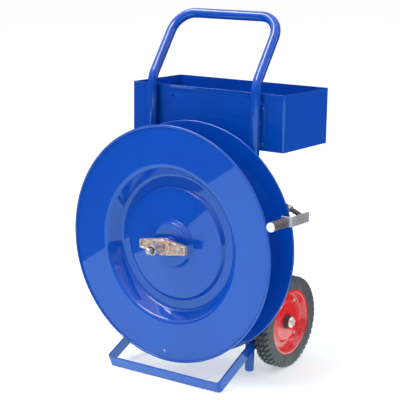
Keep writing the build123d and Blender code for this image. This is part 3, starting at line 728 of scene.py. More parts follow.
@dataclass
class Mast:
    """Bent tube with two posts and a grip, its plugs, the crossbar and their welds."""

    post_x: float = 160.0
    tube_radius: float = 12.7
    bend_height: float = 739.0
    grip_height: float = 901.5
    grip_setback: float = 113.4
    bend_radius: float = 60.0
    grip_corner_radius: float = 58.0
    plug_head: float = 4.0
    crossbar_height: float = 337.0
    crossbar_tall: float = 40.0
    crossbar_deep: float = 20.0

    def build(self, shop: Workshop) -> None:
        """Build every piece of the mast."""
        shop.piece("mast_tube_skin", [self._tube()], Slot.BLUE, "frame", ["mast_tube"])
        shop.piece("post_plug_heads", self._plugs(), Slot.BLUE, "frame", ["post_plugs"])
        shop.piece("crossbar_skin", [self._crossbar()], Slot.BLUE, "frame", ["spindle_crossbar"])
        shop.piece("crossbar_welds", self._welds(), Slot.BLUE, "frame")

    def _tube(self) -> Shell:
        """Circle carried along the bent line; near the left grip corner the wall ripples a little."""
        x, back, top = self.post_x, self.grip_setback, self.grip_height
        line = rounded([(-x, 0, self.plug_head), (-x, 0, self.bend_height), (-x, back, top),
                        (x, back, top), (x, 0, self.bend_height), (x, 0, self.plug_head)],
                       [self.bend_radius, self.grip_corner_radius, self.grip_corner_radius,
                        self.bend_radius], steps=22)
        slope = unit((0.0, top - self.bend_height, -back))
        corner = np.array([-x, back, top])
        away = np.linalg.norm(line - corner, axis=1)
        near = 1 - step_up(away, 24.0, 44.0)
        ripple = 1 + 0.010 * near * np.sin(away * 0.9)
        return swept(line, circle(self.tube_radius, 40), slope, growth=ripple)

    def _plugs(self) -> list[Shell]:
        """Round plugs whose lower rim is well rounded."""
        profile = np.concatenate([
            rounded([(0, 0), (self.tube_radius, 0), (self.tube_radius, 8)], 3.6, steps=8),
            [(0.0, 8.0)]])
        return [turned(profile, (side * self.post_x, 0, 0), UPWARD, 40) for side in (-1, 1)]

    def _crossbar(self) -> Shell:
        """Rounded rectangle carried from post to post, whose ends lie inside the posts' walls."""
        path = np.linspace((-self.post_x, 0, self.crossbar_height),
                           (self.post_x, 0, self.crossbar_height), 5)
        return swept(path, soft_box(self.crossbar_tall, self.crossbar_deep, 3.0), (0, 1, 0))

    def _welds(self) -> list[Shell]:
        """Fillet beads round the crossbar's ends, on the posts' round sides."""
        beads = []
        tall, deep = self.crossbar_tall / 2, self.crossbar_deep / 2
        for index, side in enumerate((-1, 1)):
            for face in (-1, 1):
                inset = self.post_x - math.sqrt(self.tube_radius ** 2 - deep ** 2) - 0.4
                ends = [(side * inset, face * deep, self.crossbar_height + z)
                        for z in (-tall, tall)]
                beads.append(weld_bead(ends, 2.3, (0, 1, 0), False, 11 + index))
            across = np.linspace(-deep, deep, 9)
            for face in (-1, 1):
                reach = np.sqrt(self.tube_radius ** 2 - across ** 2)
                arc = np.stack([side * (self.post_x - reach), across,
                                np.full(9, self.crossbar_height + face * tall)], -1)
                beads.append(weld_bead(arc, 2.1, (0, 0, 1), False, 21 + index))
        return beads


@dataclass
class PressedDisc:
    """Dished disc with a rolled rim."""

    node: str
    body: str
    face: float
    rearward: int
    hole_radius: float
    radius: float = 305.0
    sheet: float = 2.0
    bead_radius: float = 3.0
    reel_height: float = 337.0
    strap_hole: bool = False
    hole_place: tuple[float, float] = (280.0, -92.0)
    strap_hole_radius: float = 3.5

    def build(self, shop: Workshop) -> None:
        """Build the disc and drill its small hole, if it has one."""
        middle = rounded(
            [(self.radius - self.bead_radius - 2.0, 1.0), (200.0, 1.0), (177.0, 37.0),
             (150.0, 37.0), (142.0, 29.0), (62.0, 21.0), (54.0, 10.0), (self.hole_radius, 10.0)],
            [12.0, 12.0, 4.0, 4.0, 4.0, 4.0], steps=10)[::-1]
        step = unit(np.gradient(middle, axis=0))
        across = np.stack([step[:, 1], -step[:, 0]], -1) * self.sheet / 2
        front, back = middle + across, middle - across
        if front[-1, 1] > back[-1, 1]:
            front, back = back, front
        angle = np.radians(np.linspace(160.5, 450.0, 36))
        curl = np.stack([np.cos(angle), np.sin(angle)], -1) * self.bead_radius
        curl += (self.radius - self.bead_radius, self.sheet - self.bead_radius)
        blend_in = np.array([(self.radius - 7.2, 0.0), (self.radius - 6.3, -0.18)])
        profile = np.concatenate([front[:-1], blend_in, curl, back[::-1][1:]])
        disc = turned(profile, (0, self.face, self.reel_height), (0, self.rearward, 0), 220)
        made = shop.piece(f"{self.node}_pressing", [disc], Slot.BLUE, self.body, [self.node], 50.0)
        if self.strap_hole:
            reach, angle = self.hole_place[0], math.radians(self.hole_place[1])
            centre = (reach * math.cos(angle), self.face, self.reel_height + reach * math.sin(angle))
            drill = turned([(0, -9), (self.strap_hole_radius, -9), (self.strap_hole_radius, 9), (0, 9)],
                           centre, FORWARD, 32)
            shop.drill(made, drill)


@dataclass
class Hub:
    """Threaded hub tube, spindle end, drum and the rings between them."""

    reel_height: float = 337.0
    tube_radius: float = 12.5
    tube_bore: float = 9.5
    tube_front: float = -211.0
    tube_back: float = -16.3
    thread_back: float = -172.0
    thread_pitch: float = 5.0
    thread_depth: float = 0.14
    spindle_radius: float = 7.5
    spindle_tip: float = -228.0
    drum_radius: float = 80.0
    drum_wall: float = 4.0
    drum_back: float = -15.0
    drum_front: float = -32.0

    def build(self, shop: Workshop) -> None:
        """Build every piece of the hub."""
        centre = (0, 0, self.reel_height)
        shop.piece("hub_tube_threaded", [self._tube()], Slot.ZINC, "reel", ["hub_tube"], 60.0)
        shop.piece("spindle_bar", [turned(self._spindle(), centre, FORWARD, 48)], Slot.ZINC,
                   "frame", ["spindle"])
        shop.piece("front_thrust_ring", [turned(ring_bar(12.0, 7.56, 211.3, 213.3, 0.4), centre,
                                                FORWARD, 48)],
                   Slot.ZINC, "frame", ["front_thrust_washer"])
        shop.piece("brake_drum_cup", [turned(self._drum(), centre, FORWARD, 128)], Slot.BLUE,
                   "reel", ["brake_drum"])
        weld = turned(np.array([[15.9, 40.5], [12.4, 44.6], [12.4, 40.5]]), centre, FORWARD, 64)
        shop.piece("rear_disc_weld", [weld], Slot.BLUE, "reel", crease=80.0)

    def _tube(self) -> Shell:
        """Tube whose front end carries a thread.

        The thread's height is a triangular wave of distance over pitch less the angle as a
        share of a turn, so that its crest climbs one pitch for each turn.
        """
        count = 72
        front, back = -self.tube_front, -self.thread_back
        rows = np.arange(front - 1.2, back, -self.thread_pitch / 12)
        outer = np.stack([np.full(len(rows), self.tube_radius), rows], -1)
        nose = [(self.tube_bore, front), (self.tube_radius - 1.0, front)]
        plain = [(self.tube_radius, -self.tube_back), (self.tube_bore, -self.tube_back)]
        profile = np.concatenate([nose, outer, plain])
        share = np.arange(count) / count
        phase = (profile[:, 1][:, None] / self.thread_pitch - share[None, :]) % 1.0
        wave = np.abs(phase * 2 - 1)
        fade = np.zeros(len(profile))
        fade[2:2 + len(rows)] = step_up(rows, back, back + 4) * 1.0
        return turned(profile, (0, 0, self.reel_height), FORWARD, count,
                      -self.thread_depth * wave * fade[:, None])

    def _spindle(self) -> Array:
        """Bar with a collar at the crossbar, a chamfered tip and a centre-drilled dimple."""
        radius, tip = self.spindle_radius, -self.spindle_tip
        corners = [(0, -24.0), (radius, -24.0), (radius, 10.0), (13.0, 10.0), (13.0, 14.0),
                   (radius, 14.0), (radius, tip - 1.6), (radius - 1.6, tip), (2.6, tip),
                   (0, tip - 3.0)]
        return rounded(corners, [0.8, 0.2, 0.4, 0.6, 0.2, 0.5, 0.5, 0.3], steps=3)

    def _drum(self) -> Array:
        """Closed profile of the flanged cup."""
        radius, wall = self.drum_radius, self.drum_wall
        back, front = -self.drum_back, -self.drum_front
        return rounded([(12.5, front), (12.5, front - 3.0), (radius - wall, front - 3.0),
                        (radius - wall, back), (radius, back), (radius, front)],
                       [0.4, 0.4, 3.0, 1.0, 1.0, 3.5], closed=True)


@dataclass
class Clamp:
    """Boss in the front disc, its washer and the cast wing nut."""

    reel_height: float = 337.0
    boss_radius: float = 18.0
    boss_back: float = -133.0
    boss_front: float = -149.0
    washer_radius: float = 20.0
    washer_front: float = -152.0
    nut_back: float = -152.3
    nut_length: float = 22.0
    bore: float = 12.55
    base_radius: float = 20.0
    wing_reach: float = 71.0
    root_half: float = 21.0
    tip_half: float = 10.5
    wing_lift: float = 4.0
    wing_thick: float = 13.0
    pocket_depth: float = 4.5

    def build(self, shop: Workshop) -> None:
        """Build the clamp's pieces."""
        centre = (0, 0, self.reel_height)
        boss = ring_bar(self.boss_radius, self.bore, -self.boss_back, -self.boss_front, 1.2)
        inner = ring_bar(self.boss_radius - 3.0, self.bore, -self.boss_back - 2.0,
                         -self.boss_back + 1.0, 0.2)
        shop.piece("disc_boss", [turned(boss, centre, FORWARD), turned(inner, centre, FORWARD)],
                   Slot.BLUE, "front_flange", ["front_boss"])
        angle = np.arange(48) * math.pi / 24
        seam = np.stack([18.4 * np.cos(angle), np.full(48, self.boss_back - 0.4),
                         self.reel_height + 18.4 * np.sin(angle)], -1)
        shop.piece("disc_boss_weld", [weld_bead(seam, 2.4, (0, 1, 0), True, 5)], Slot.BLUE,
                   "front_flange")
        washer = ring_bar(self.washer_radius, 12.8, -self.boss_front, -self.washer_front, 0.7)
        shop.piece("clamp_washer_ring", [turned(washer, centre, FORWARD)], Slot.ZINC,
                   "front_flange", ["clamp_washer"])
        shop.piece("wing_nut_casting", [self._nut()], Slot.CAST, "clamp_nut", ["wing_nut"], 60.0)

    def _outline(self, angle: Array) -> Array:
        """Distance from the axis to the nut's edge at each angle.

        A wing's edge falls evenly from root to tip, so its distance is root over (sine plus
        slope times cosine). The tip is a straight end. Both are joined by a high power mean,
        which rounds their corner, and the round base fills what is left between the wings.
        """
        sine, cosine = np.abs(np.sin(angle)), np.abs(np.cos(angle))
        slope = (self.root_half - self.tip_half) / self.wing_reach
        edge = self.root_half / (sine + slope * cosine)
        end = self.wing_reach / np.maximum(cosine, 1e-6)
        power = 36.0
        wing = (edge ** -power + end ** -power) ** (-1 / power)
        return (wing ** 24 + self.base_radius ** 24) ** (1 / 24)

    def _nut(self) -> Shell:
        """Cast nut as a ring of rows that run out over the front and back over the rear.

        The front's height is the wing's, with the round boss added near the axis and a pocket
        taken out inside each wing's rim.
        """
        count = 300
        angle = np.arange(count) * 2 * math.pi / count
        edge = self._outline(angle)
        out_share = np.concatenate([np.linspace(0, 0.42, 26), np.linspace(0.44, 1, 44)])
        soft = 1.3
        lip = np.radians(np.linspace(0, 90, 6))
        reach = self.bore + out_share[:, None] * (edge - soft - self.bore)
        x, z = reach * np.cos(angle), reach * np.sin(angle)
        front = self._front(x, z)
        rim_reach = edge - soft + soft * np.sin(lip)[:, None]
        rim = self.wing_lift + self.wing_thick - soft + soft * np.cos(lip)[:, None]
        rim = rim + np.zeros_like(rim_reach)
        low_reach = edge - soft + soft * np.cos(lip)[:, None] + 0.9
        low = self.wing_lift + soft - soft * np.sin(lip)[:, None] + np.zeros_like(low_reach)
        back_reach = reach[::-1]
        back = self.wing_lift * step_up(back_reach, self.base_radius - 1.5, self.base_radius + 2)
        radius = np.concatenate([reach, rim_reach, low_reach, back_reach])
        height = np.concatenate([front, rim, low, back])
        points = np.stack([radius * np.cos(angle), self.nut_back - height,
                           self.reel_height + radius * np.sin(angle)], -1)
        return grid_shell(points, True)

    def _front(self, x: Array, z: Array) -> Array:
        """Height of the nut's front over its back, at places on it."""
        wing = self.wing_lift + self.wing_thick
        round_reach = np.hypot(x, z)
        boss = (self.nut_length - wing) * (1 - step_up(round_reach, 16.6, 18.9))
        along = np.abs(x)
        half = self.root_half + (self.tip_half - self.root_half) * along / self.wing_reach
        inside = np.minimum(half - 4.2 - np.abs(z), self.wing_reach - 5.6 - along)
        inside = np.minimum(inside, round_reach - self.base_radius - 3.2)
        pocket = self.pocket_depth * step_up(inside, -0.9, 1.4)
        chamfer = 1.2 * (1 - step_up(round_reach, self.bore, self.bore + 1.4))
        return wing + boss - pocket - chamfer


@dataclass
class Tray:
    """Sheet tray behind the posts, with its front hem, spot welds and fixings."""

    width: float = 472.0
    depth: float = 216.0
    height: float = 144.0
    base: float = 576.0
    front: float = 15.0
    sheet: float = 1.5
    corner: float = 5.0
    hem: float = 10.0
    post_x: float = 160.0
    bolt_x: float = 174.0
    bolt_heights: tuple[float, float] = (592.0, 682.0)

    def build(self, shop: Workshop) -> None:
        """Build the pieces that go on the CAD tray."""
        shop.piece("tray_hem", [self._hem()], Slot.BLUE, "frame")
        shop.piece("tray_top_lip", [self._lip()], Slot.BLUE, "frame")
        shop.piece("tray_bracket_welds", self._welds(), Slot.BLUE, "frame")
        shop.piece("tray_bolt_heads", self._bolts(), Slot.BLUE, "frame", ["tray_bolts"])

    def _hem(self) -> Shell:
        """Flat fold at the top of the front wall, with a full round at its upper edge."""
        low = self.base + self.height - self.hem
        section = rounded([(0, 0), (0.6, 0.2), (3.4, self.hem), (0, self.hem)],
                          [0.2, 0.9, 0.6, 0.2], closed=True)
        path = np.linspace((-self.width / 2 + 5, self.front + 0.1, low),
                           (self.width / 2 - 5, self.front + 0.1, low), 9)
        return swept(path, section, (0, 0, 1))

    def _lip(self) -> Shell:
        """Thin rounded edge that runs round the tray's top."""
        half_x, middle = self.width / 2 - self.sheet / 2, self.front + self.depth / 2
        half_y, top = self.depth / 2 - self.sheet / 2, self.base + self.height - 0.7
        corners = [(-half_x, middle - half_y, top), (half_x, middle - half_y, top),
                   (half_x, middle + half_y, top), (-half_x, middle + half_y, top)]
        line = rounded(corners, self.corner - self.sheet / 2, closed=True, steps=6)
        return swept(line, circle(0.78, 8), UPWARD, closed=True)

    def _welds(self) -> list[Shell]:
        """Short beads between the brackets and the posts' outer sides."""
        beads = []
        for index, side in enumerate((-1, 1)):
            for height in (584.0, 640.0, 690.0):
                seam = [(side * (self.post_x + 8.6), 10.6, height),
                        (side * (self.post_x + 8.6), 10.6, height + 14.0)]
                beads.append(weld_bead(seam, 1.9, (0, 1, 0), False, 31 + index))
        return beads

    def _bolts(self) -> list[Shell]:
        """Domed heads with their shanks."""
        arc = np.radians(np.linspace(0, 90, 8))
        dome = np.stack([5.2 * np.cos(arc), 3.0 + 3.1 * np.sin(arc)], -1)
        profile = np.concatenate([[(0, -10.0), (3.0, -10.0), (3.0, 3.0), (5.2, 3.0)], dome[:-1],
                                  [(0.0, 6.1)]])
        return [turned(profile, (side * self.bolt_x, self.front, height), FORWARD, 32)
                for side in (-1, 1) for height in self.bolt_heights]


@dataclass
class FootLoop:
    """Flat bar bent round the front of the posts, rising rearward in one plane."""

    bar_width: float = 30.0
    bar_thick: float = 5.0
    slope: float = 22.7
    front: float = -157.0
    rear: float = 78.0
    corner: float = 9.0
    half_width: float = 175.2
    edge: float = 0.9

    def build(self, shop: Workshop) -> None:
        """Build the bar and its welds."""
        shop.piece("foot_loop_bar", [self._bar()], Slot.BLUE, "frame", ["foot_loop"],
                   frame=shop.floor)
        shop.piece("foot_loop_welds", self._welds(), Slot.BLUE, "frame", frame=shop.floor)

    def _in_plane(self, points: ArrayLike, lift: float) -> Array:
        """Floor-frame places of points in the sloping plane, lifted square to it."""
        tilt = math.radians(self.slope)
        flat = np.asarray(points, float)
        return np.stack([flat[:, 0],
                         self.front + flat[:, 1] * math.cos(tilt) - lift * math.sin(tilt),
                         flat[:, 1] * math.sin(tilt) + lift * math.cos(tilt)], -1)

    def _bar(self) -> Shell:
        """Softened flat section carried round the bent line."""
        run = (self.rear - self.front) / math.cos(math.radians(self.slope))
        start = self.bar_thick / 2
        line = rounded([(-self.half_width, run), (-self.half_width, start),
                        (self.half_width, start), (self.half_width, run)], self.corner, steps=10)
        tilt = math.radians(self.slope)
        normal = (0.0, -math.sin(tilt), math.cos(tilt))
        section = soft_box(self.bar_thick, self.bar_width, self.edge)
        return swept(self._in_plane(line, self.bar_width / 2), section, normal)

    def _welds(self) -> list[Shell]:
        """Upright beads where the bar's sides pass the posts."""
        beads = []
        for index, side in enumerate((-1, 1)):
            for shift in (-5.2, 5.2):
                x = side * (self.half_width - self.bar_thick / 2 - 0.4)
                run = (0.0 - self.front + shift) / math.cos(math.radians(self.slope))
                low, high = (self._in_plane([(x, run)], lift)[0] for lift in (2.0, self.bar_width - 2.0))
                beads.append(weld_bead([low, high], 2.2, (1, 0, 0), False, 41 + index))
        return beads


@dataclass
class Wheel:
    """Wheel with a treaded tyre on two pressed half rims."""

    hand: Hand
    track: float = 413.0
    axle_setback: float = 98.5
    radius: float = 120.5
    tyre_half: float = 23.0
    rim_half: float = 19.0
    rim_radius: float = 86.0
    seat_radius: float = 80.0
    well_radius: float = 73.0
    disc_radius: float = 49.0
    disc_step: float = 5.0
    sheet: float = 2.0
    hub_radius: float = 13.0
    hub_half: float = 19.0
    rivet_circle: float = 64.0
    blocks: int = 46
    tread_depth: float = 4.6

    @property
    def centre(self) -> tuple[float, float, float]:
        """Middle of the wheel in the floor's frame."""
        return (self.hand.value * self.track / 2, self.axle_setback, self.radius)

    @property
    def outward(self) -> tuple[float, float, float]:
        """Direction of the axle away from the cart."""
        return (float(self.hand.value), 0.0, 0.0)

    def build(self, shop: Workshop) -> None:
        """Build the wheel's pieces."""
        word = self.hand.word
        body = f"{word}_wheel"
        shop.piece(f"{word}_treaded_tyre", [self._tyre()], Slot.TYRE, body, [f"{word}_tyre"], 32.0,
                   shop.floor)
        for sign, face in ((1, "outer"), (-1, "inner")):
            rim = turned(self._rim(sign), self.centre, self.outward, 160)
            shop.piece(f"{word}_{face}_rim_pressing", [rim], Slot.RED, body,
                       [f"{word}_{face}_rim"], 50.0, shop.floor)
        hub = ring_bar(self.hub_radius, 10.5, -self.hub_half, self.hub_half, 0.8)
        shop.piece(f"{word}_hub_sleeve", [turned(hub, self.centre, self.outward, 64)], Slot.RED,
                   body, [f"{word}_wheel_hub"], frame=shop.floor)
        seal = ring_bar(19.5, self.hub_radius, 7.0, 9.2, 0.8)
        lip = ring_bar(16.4, self.hub_radius, 9.0, 11.6, 1.0)
        shop.piece(f"{word}_hub_seal_ring", [turned(seal, self.centre, self.outward, 64),
                                             turned(lip, self.centre, self.outward, 64)],
                   Slot.NYLON, body, [f"{word}_hub_seal"], frame=shop.floor)
        shop.piece(f"{word}_rivet_heads", self._rivets(), Slot.ZINC, body,
                   [f"{word}_rim_rivets"], frame=shop.floor)
        cone = rounded([(12.6, 9.0), (18.2, 9.0), (16.6, 14.0), (15.6, 18.9), (12.6, 18.9)],
                       [0.3, 0.8, 1.5, 0.8, 0.3], closed=True)
        shop.piece(f"{word}_hub_boot", [turned(cone, self.centre, self.outward, 64)], Slot.NYLON,
                   body, frame=shop.floor)

    def _rim(self, sign: int) -> Array:
        """Closed profile of one pressed half rim: its sheet's line, set off by half its gauge."""
        half = self.sheet / 2
        edge = self.rim_half - half
        line = rounded([(self.rim_radius - half, sign * edge), (self.seat_radius, sign * edge),
                        (self.well_radius, sign * half), (self.disc_radius + 7.0, sign * half),
                        (self.disc_radius, sign * (half + self.disc_step)),
                        (self.hub_radius, sign * (half + self.disc_step))],
                       [3.0, 5.0, 3.0, 3.0], steps=8)
        step = unit(np.gradient(line, axis=0))
        across = np.stack([step[:, 1], -step[:, 0]], -1) * half
        angle = np.radians(np.linspace(0, 180, 8))[1:-1]
        first, way = line[0], unit(line[0] - line[1])
        nose = first + half * (np.cos(angle)[:, None] * unit(across[0])
                               + np.sin(angle)[:, None] * way)
        return np.concatenate([(line + across)[::-1], nose, line - across])

    def _tyre(self) -> Shell:
        """Tyre whose tread is cut into blocks.

        Round the wheel the blocks repeat evenly. Across the tread two zigzag grooves and slanted
        cuts between blocks sink the surface towards the axle, and the shoulders carry every
        other cut further down, so their outline is wavy.
        """
        count = self.blocks * 12
        half, outer = self.tyre_half, self.radius
        side = rounded([(self.rim_radius - 1.0, self.rim_half - 1.0),
                        (self.rim_radius + 1.4, self.rim_half + 1.6),
                        (self.rim_radius + 5.0, half - 1.6), (outer - 15.0, half),
                        (outer - 2.0, half - 2.0), (outer, half - 7.0), (outer, 0.0)],
                       [1.0, 1.5, 6.0, 3.0, 4.0], steps=6)
        reach = np.concatenate([[0], np.cumsum(np.linalg.norm(np.diff(side, axis=0), axis=1))])
        fine = np.concatenate([np.linspace(0, 15, 12, endpoint=False),
                               np.linspace(15, reach[-1], 44)])
        side = np.stack([np.interp(fine, reach, side[:, k]) for k in range(2)], -1)
        inner = np.array([(self.seat_radius + 0.6, self.rim_half - 2.2),
                          (self.well_radius + 2.0, 0.0)])
        left = side[::-1][1:] * (1, -1)
        profile = np.concatenate([side, left, inner[:1] * (1, -1), inner[1:], inner[:1]])
        turns = self._tread(profile, count)
        return turned(profile, self.centre, self.outward, count, turns)

    def _tread(self, profile: Array, count: int) -> Array:
        """How far each point of the tyre sinks, by row and column."""
        across = profile[:, 1][:, None]
        share = (np.arange(count) / count * self.blocks)[None, :]
        crown = step_up(profile[:, 0], self.radius - 16.0, self.radius - 9.0)[:, None]
        zigzag = 1.5 * (np.abs((share % 1) * 2 - 1) * 2 - 1)
        grooves = sum(1 - step_up(np.abs(across - place - zigzag), 0.9, 2.3)
                      for place in (-7.2, 7.2))
        outer_band = step_up(np.abs(across), 6.4, 7.6)
        slant = 0.5 * outer_band + across * 0.045
        cut_place = np.abs((share + slant) % 1 - 0.5)
        cuts = 1 - step_up(0.5 - cut_place, 0.07, 0.17)
        depth = np.clip(grooves + cuts, 0, 1)
        return -self.tread_depth * depth * crown

    def _rivets(self) -> list[Shell]:
        """Domed heads on both sides of the rim."""
        arc = np.radians(np.linspace(0, 90, 7))
        shells = []
        for sign in (-1, 1):
            dome = np.stack([4.9 * np.cos(arc), sign * (2.0 + 2.6 * np.sin(arc))], -1)
            profile = np.concatenate([[(0.0, 0.0), (3.5, 0.0), (3.5, sign * 2.0)], dome[:-1],
                                      [(0.0, sign * 4.6)]])
            for quarter in range(4):
                angle = math.radians(45 + 90 * quarter)
                place = np.asarray(self.centre) + (0, self.rivet_circle * math.cos(angle),
                                                   self.rivet_circle * math.sin(angle))
                shells.append(turned(profile, place, self.outward, 24))
        return shells


@dataclass
class Axle:
    """Spacers between the posts and the wheels, the axle bar and its end caps."""

    post_outer: float = 172.7
    spacer_end: float = 187.2
    cap_seat: float = 225.8
    setback: float = 98.5
    height: float = 120.5

    def build(self, shop: Workshop) -> None:
        """Build the axle's dressed pieces."""
        middle = (0, self.setback, self.height)
        ring = ring_bar(13.0, 8.0, self.post_outer, self.spacer_end, 0.8)
        cap = rounded([(0, self.cap_seat + 4.0), (7.9, self.cap_seat + 4.0), (7.9, self.cap_seat),
                       (14.9, self.cap_seat), (14.9, self.cap_seat + 2.6),
                       (10.4, self.cap_seat + 6.9), (4.6, self.cap_seat + 6.9),
                       (3.4, self.cap_seat + 5.2), (0, self.cap_seat + 5.2)],
                      [0.2, 0.2, 0.4, 1.0, 2.4, 0.8, 0.6], steps=5)
        spacers, caps = ([turned(profile, middle, (side, 0, 0), 64) for side in (-1, 1)]
                         for profile in (ring, cap))
        shop.piece("axle_spacer_rings", spacers, Slot.ZINC, "frame", ["axle_spacers"],
                   frame=shop.floor)
        shop.piece("axle_end_caps", caps, Slot.CAP, "frame", ["axle_caps"], frame=shop.floor)
        bar = solid_bar(8.0, -self.cap_seat - 3.9, self.cap_seat + 3.9, 0.8)
        shop.piece("axle_bar", [turned(bar, middle, (1, 0, 0), 48)], Slot.ZINC, "frame", ["axle"],
                   frame=shop.floor)


@dataclass
class BrakeArm:
    """Arm on the right post: sleeve, rod, guide bar, roller, lever and spring."""

    pivot: tuple[float, float] = (160.0, 500.0)
    plane: float = -20.5
    rod_end: tuple[float, float] = (317.5, 433.5)
    rod_radius: float = 6.0
    bar_outer: float = 322.5
    bar_thick: float = 5.0
    bar_width: float = 25.0
    bar_height: float = 430.5
    bar_rear: float = 1.0
    bar_front: float = -82.0
    tab_inner: float = 293.0
    roller_place: tuple[float, float] = (305.0, 428.5)
    spring_x: float = 195.0
    spring_low: float = 388.0
    rod_underside: float = 475.6
    coil_radius: float = 5.5
    wire_radius: float = 1.0

    def build(self, shop: Workshop) -> None:
        """Build the arm's pieces."""
        shop.piece("arm_rod_bar", [self._rod(self.rod_radius, 11.5, None, 0.2)], Slot.BLACK,
                   "brake_arm", ["arm_rod"])
        shop.piece("rod_collar_ring", [self._rod(8.5, 126.0, 135.0, 1.2)], Slot.BAR,
                   "brake_arm", ["rod_collar"])
        shop.piece("guide_bar_flat", [self._bar()], Slot.BAR, "brake_arm", ["guide_bar"])
        shop.piece("guide_bar_weld", [self._bar_weld()], Slot.BLACK, "brake_arm")
        shop.piece("pivot_sleeve_ring", [turned(ring_bar(12.0, 6.05, 14.3, 26.7, 0.8),
                                                (self.pivot[0], 0, self.pivot[1]), FORWARD, 48)],
                   Slot.BLACK, "brake_arm", ["pivot_sleeve"])
        self._roller(shop)
        self._spring(shop)

    def _rod(self, radius: float, start: float, end: float | None, soft: float) -> Shell:
        """Round bar along the rod's line, between two distances from the pivot."""
        origin = np.array([self.pivot[0], self.plane, self.pivot[1]])
        target = np.array([self.rod_end[0], self.plane, self.rod_end[1]])
        reach = float(np.linalg.norm(target - origin))
        profile = solid_bar(radius, start, end or reach, soft)
        return turned(profile, origin, target - origin, 40)

    def _bar(self) -> Shell:
        """Flat bar that turns in at its front, with rolled edges."""
        middle = self.bar_outer - self.bar_thick / 2
        front = self.bar_front + self.bar_thick / 2
        line = rounded([(middle, self.bar_rear, self.bar_height), (middle, front, self.bar_height),
                        (self.tab_inner, front, self.bar_height)], self.bar_thick, steps=8)
        return swept(line, soft_box(self.bar_thick, self.bar_width, 1.0), UPWARD)

    def _bar_weld(self) -> Shell:
        """Bead round the rod where it meets the bar."""
        angle = np.arange(24) * math.pi / 12
        ring = np.stack([np.full(24, self.rod_end[0] - 0.6),
                         self.plane + 6.6 * np.cos(angle),
                         self.rod_end[1] + 7.1 * np.sin(angle)], -1)
        return weld_bead(ring, 1.9, (1, 0, 0), True, 51)

    def _roller(self, shop: Workshop) -> None:
        """Grooved roller, its spacer and its bright cap."""
        centre = (self.roller_place[0], 0, self.roller_place[1])
        roller = rounded([(5.05, 87.0), (12.4, 87.0), (12.4, 91.0), (12.0, 94.5), (12.0, 140.0),
                          (12.4, 143.0), (12.4, 147.0), (5.05, 147.0)],
                         [0.3, 1.2, 2.0, 3.0, 3.0, 2.0, 1.2, 0.3], closed=True, steps=4)
        shop.piece("strap_roller", [turned(roller, centre, FORWARD, 64)], Slot.ROLLER, "roller",
                   ["guide_roller"])
        spacer = ring_bar(8.0, 5.0, 82.0, 86.7, 0.6)
        shop.piece("roller_spacer_ring", [turned(spacer, centre, FORWARD, 48)], Slot.ZINC,
                   "brake_arm", ["roller_spacer"])
        cap = rounded([(0, 147.4), (11.9, 147.4), (11.9, 149.6), (9.4, 151.3), (5.4, 151.2),
                       (4.7, 150.3), (0, 150.3)], [0.4, 1.0, 1.2, 0.4, 0.3], steps=4)
        shop.piece("roller_end_cap", [turned(cap, centre, FORWARD, 64)], Slot.CAP, "brake_arm",
                   ["roller_cap"])

    def _spring(self, shop: Workshop) -> None:
        """Close-wound spring with a hook at each end, stretched between lug and rod.

        Its coils are a helix: the angle grows evenly with height.
        """
        low, high = self.spring_low + 10.0, self.rod_underside - 12.0
        turns = round((high - low) / 2.15)
        share = np.linspace(0, 1, turns * 18 + 1)
        angle = share * turns * 2 * math.pi
        helix = np.stack([self.spring_x + self.coil_radius * np.cos(angle),
                          self.plane + self.coil_radius * np.sin(angle),
                          low + (high - low) * share], -1)
        wire = circle(self.wire_radius, 8)
        hooks = []
        side = self.coil_radius
        for base, tip, centre in ((low, self.spring_low, self.spring_low - 3.2),
                                  (high, self.rod_underside, self.rod_underside + 5.6)):
            way = math.copysign(1.0, tip - base)
            radius = 4.4 if way < 0 else 7.4
            arc = np.radians(np.linspace(0, 300, 26))
            loop = np.stack([self.spring_x + radius * np.cos(arc), np.full(26, self.plane),
                             centre + way * radius * np.sin(arc)], -1)
            lead = [(self.spring_x + side, self.plane, base - way * 0.5),
                    (self.spring_x + radius, self.plane, centre - way * radius * 0.25)]
            hooks.append(swept(np.concatenate([lead, loop]), wire, (0, 1, 0)))
        spring = shop.piece("return_spring", [swept(helix, wire, UPWARD), *hooks], Slot.BLACK, "",
                            ["brake_spring"])
        ends = shop.mast.place([(self.spring_x, self.plane, self.spring_low),
                                (self.spring_x, self.plane, self.rod_underside)])
        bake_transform(spring)


# ---- Studio ----------------------------------------------------------------------------------------------


@dataclass(frozen=True)
class SoftBox:
    """One rectangular lamp that faces the cart."""

    name: str
    place: tuple[float, float, float]
    size: tuple[float, float]
    power: float
    colour: tuple[float, float, float] = (1.0, 1.0, 1.0)


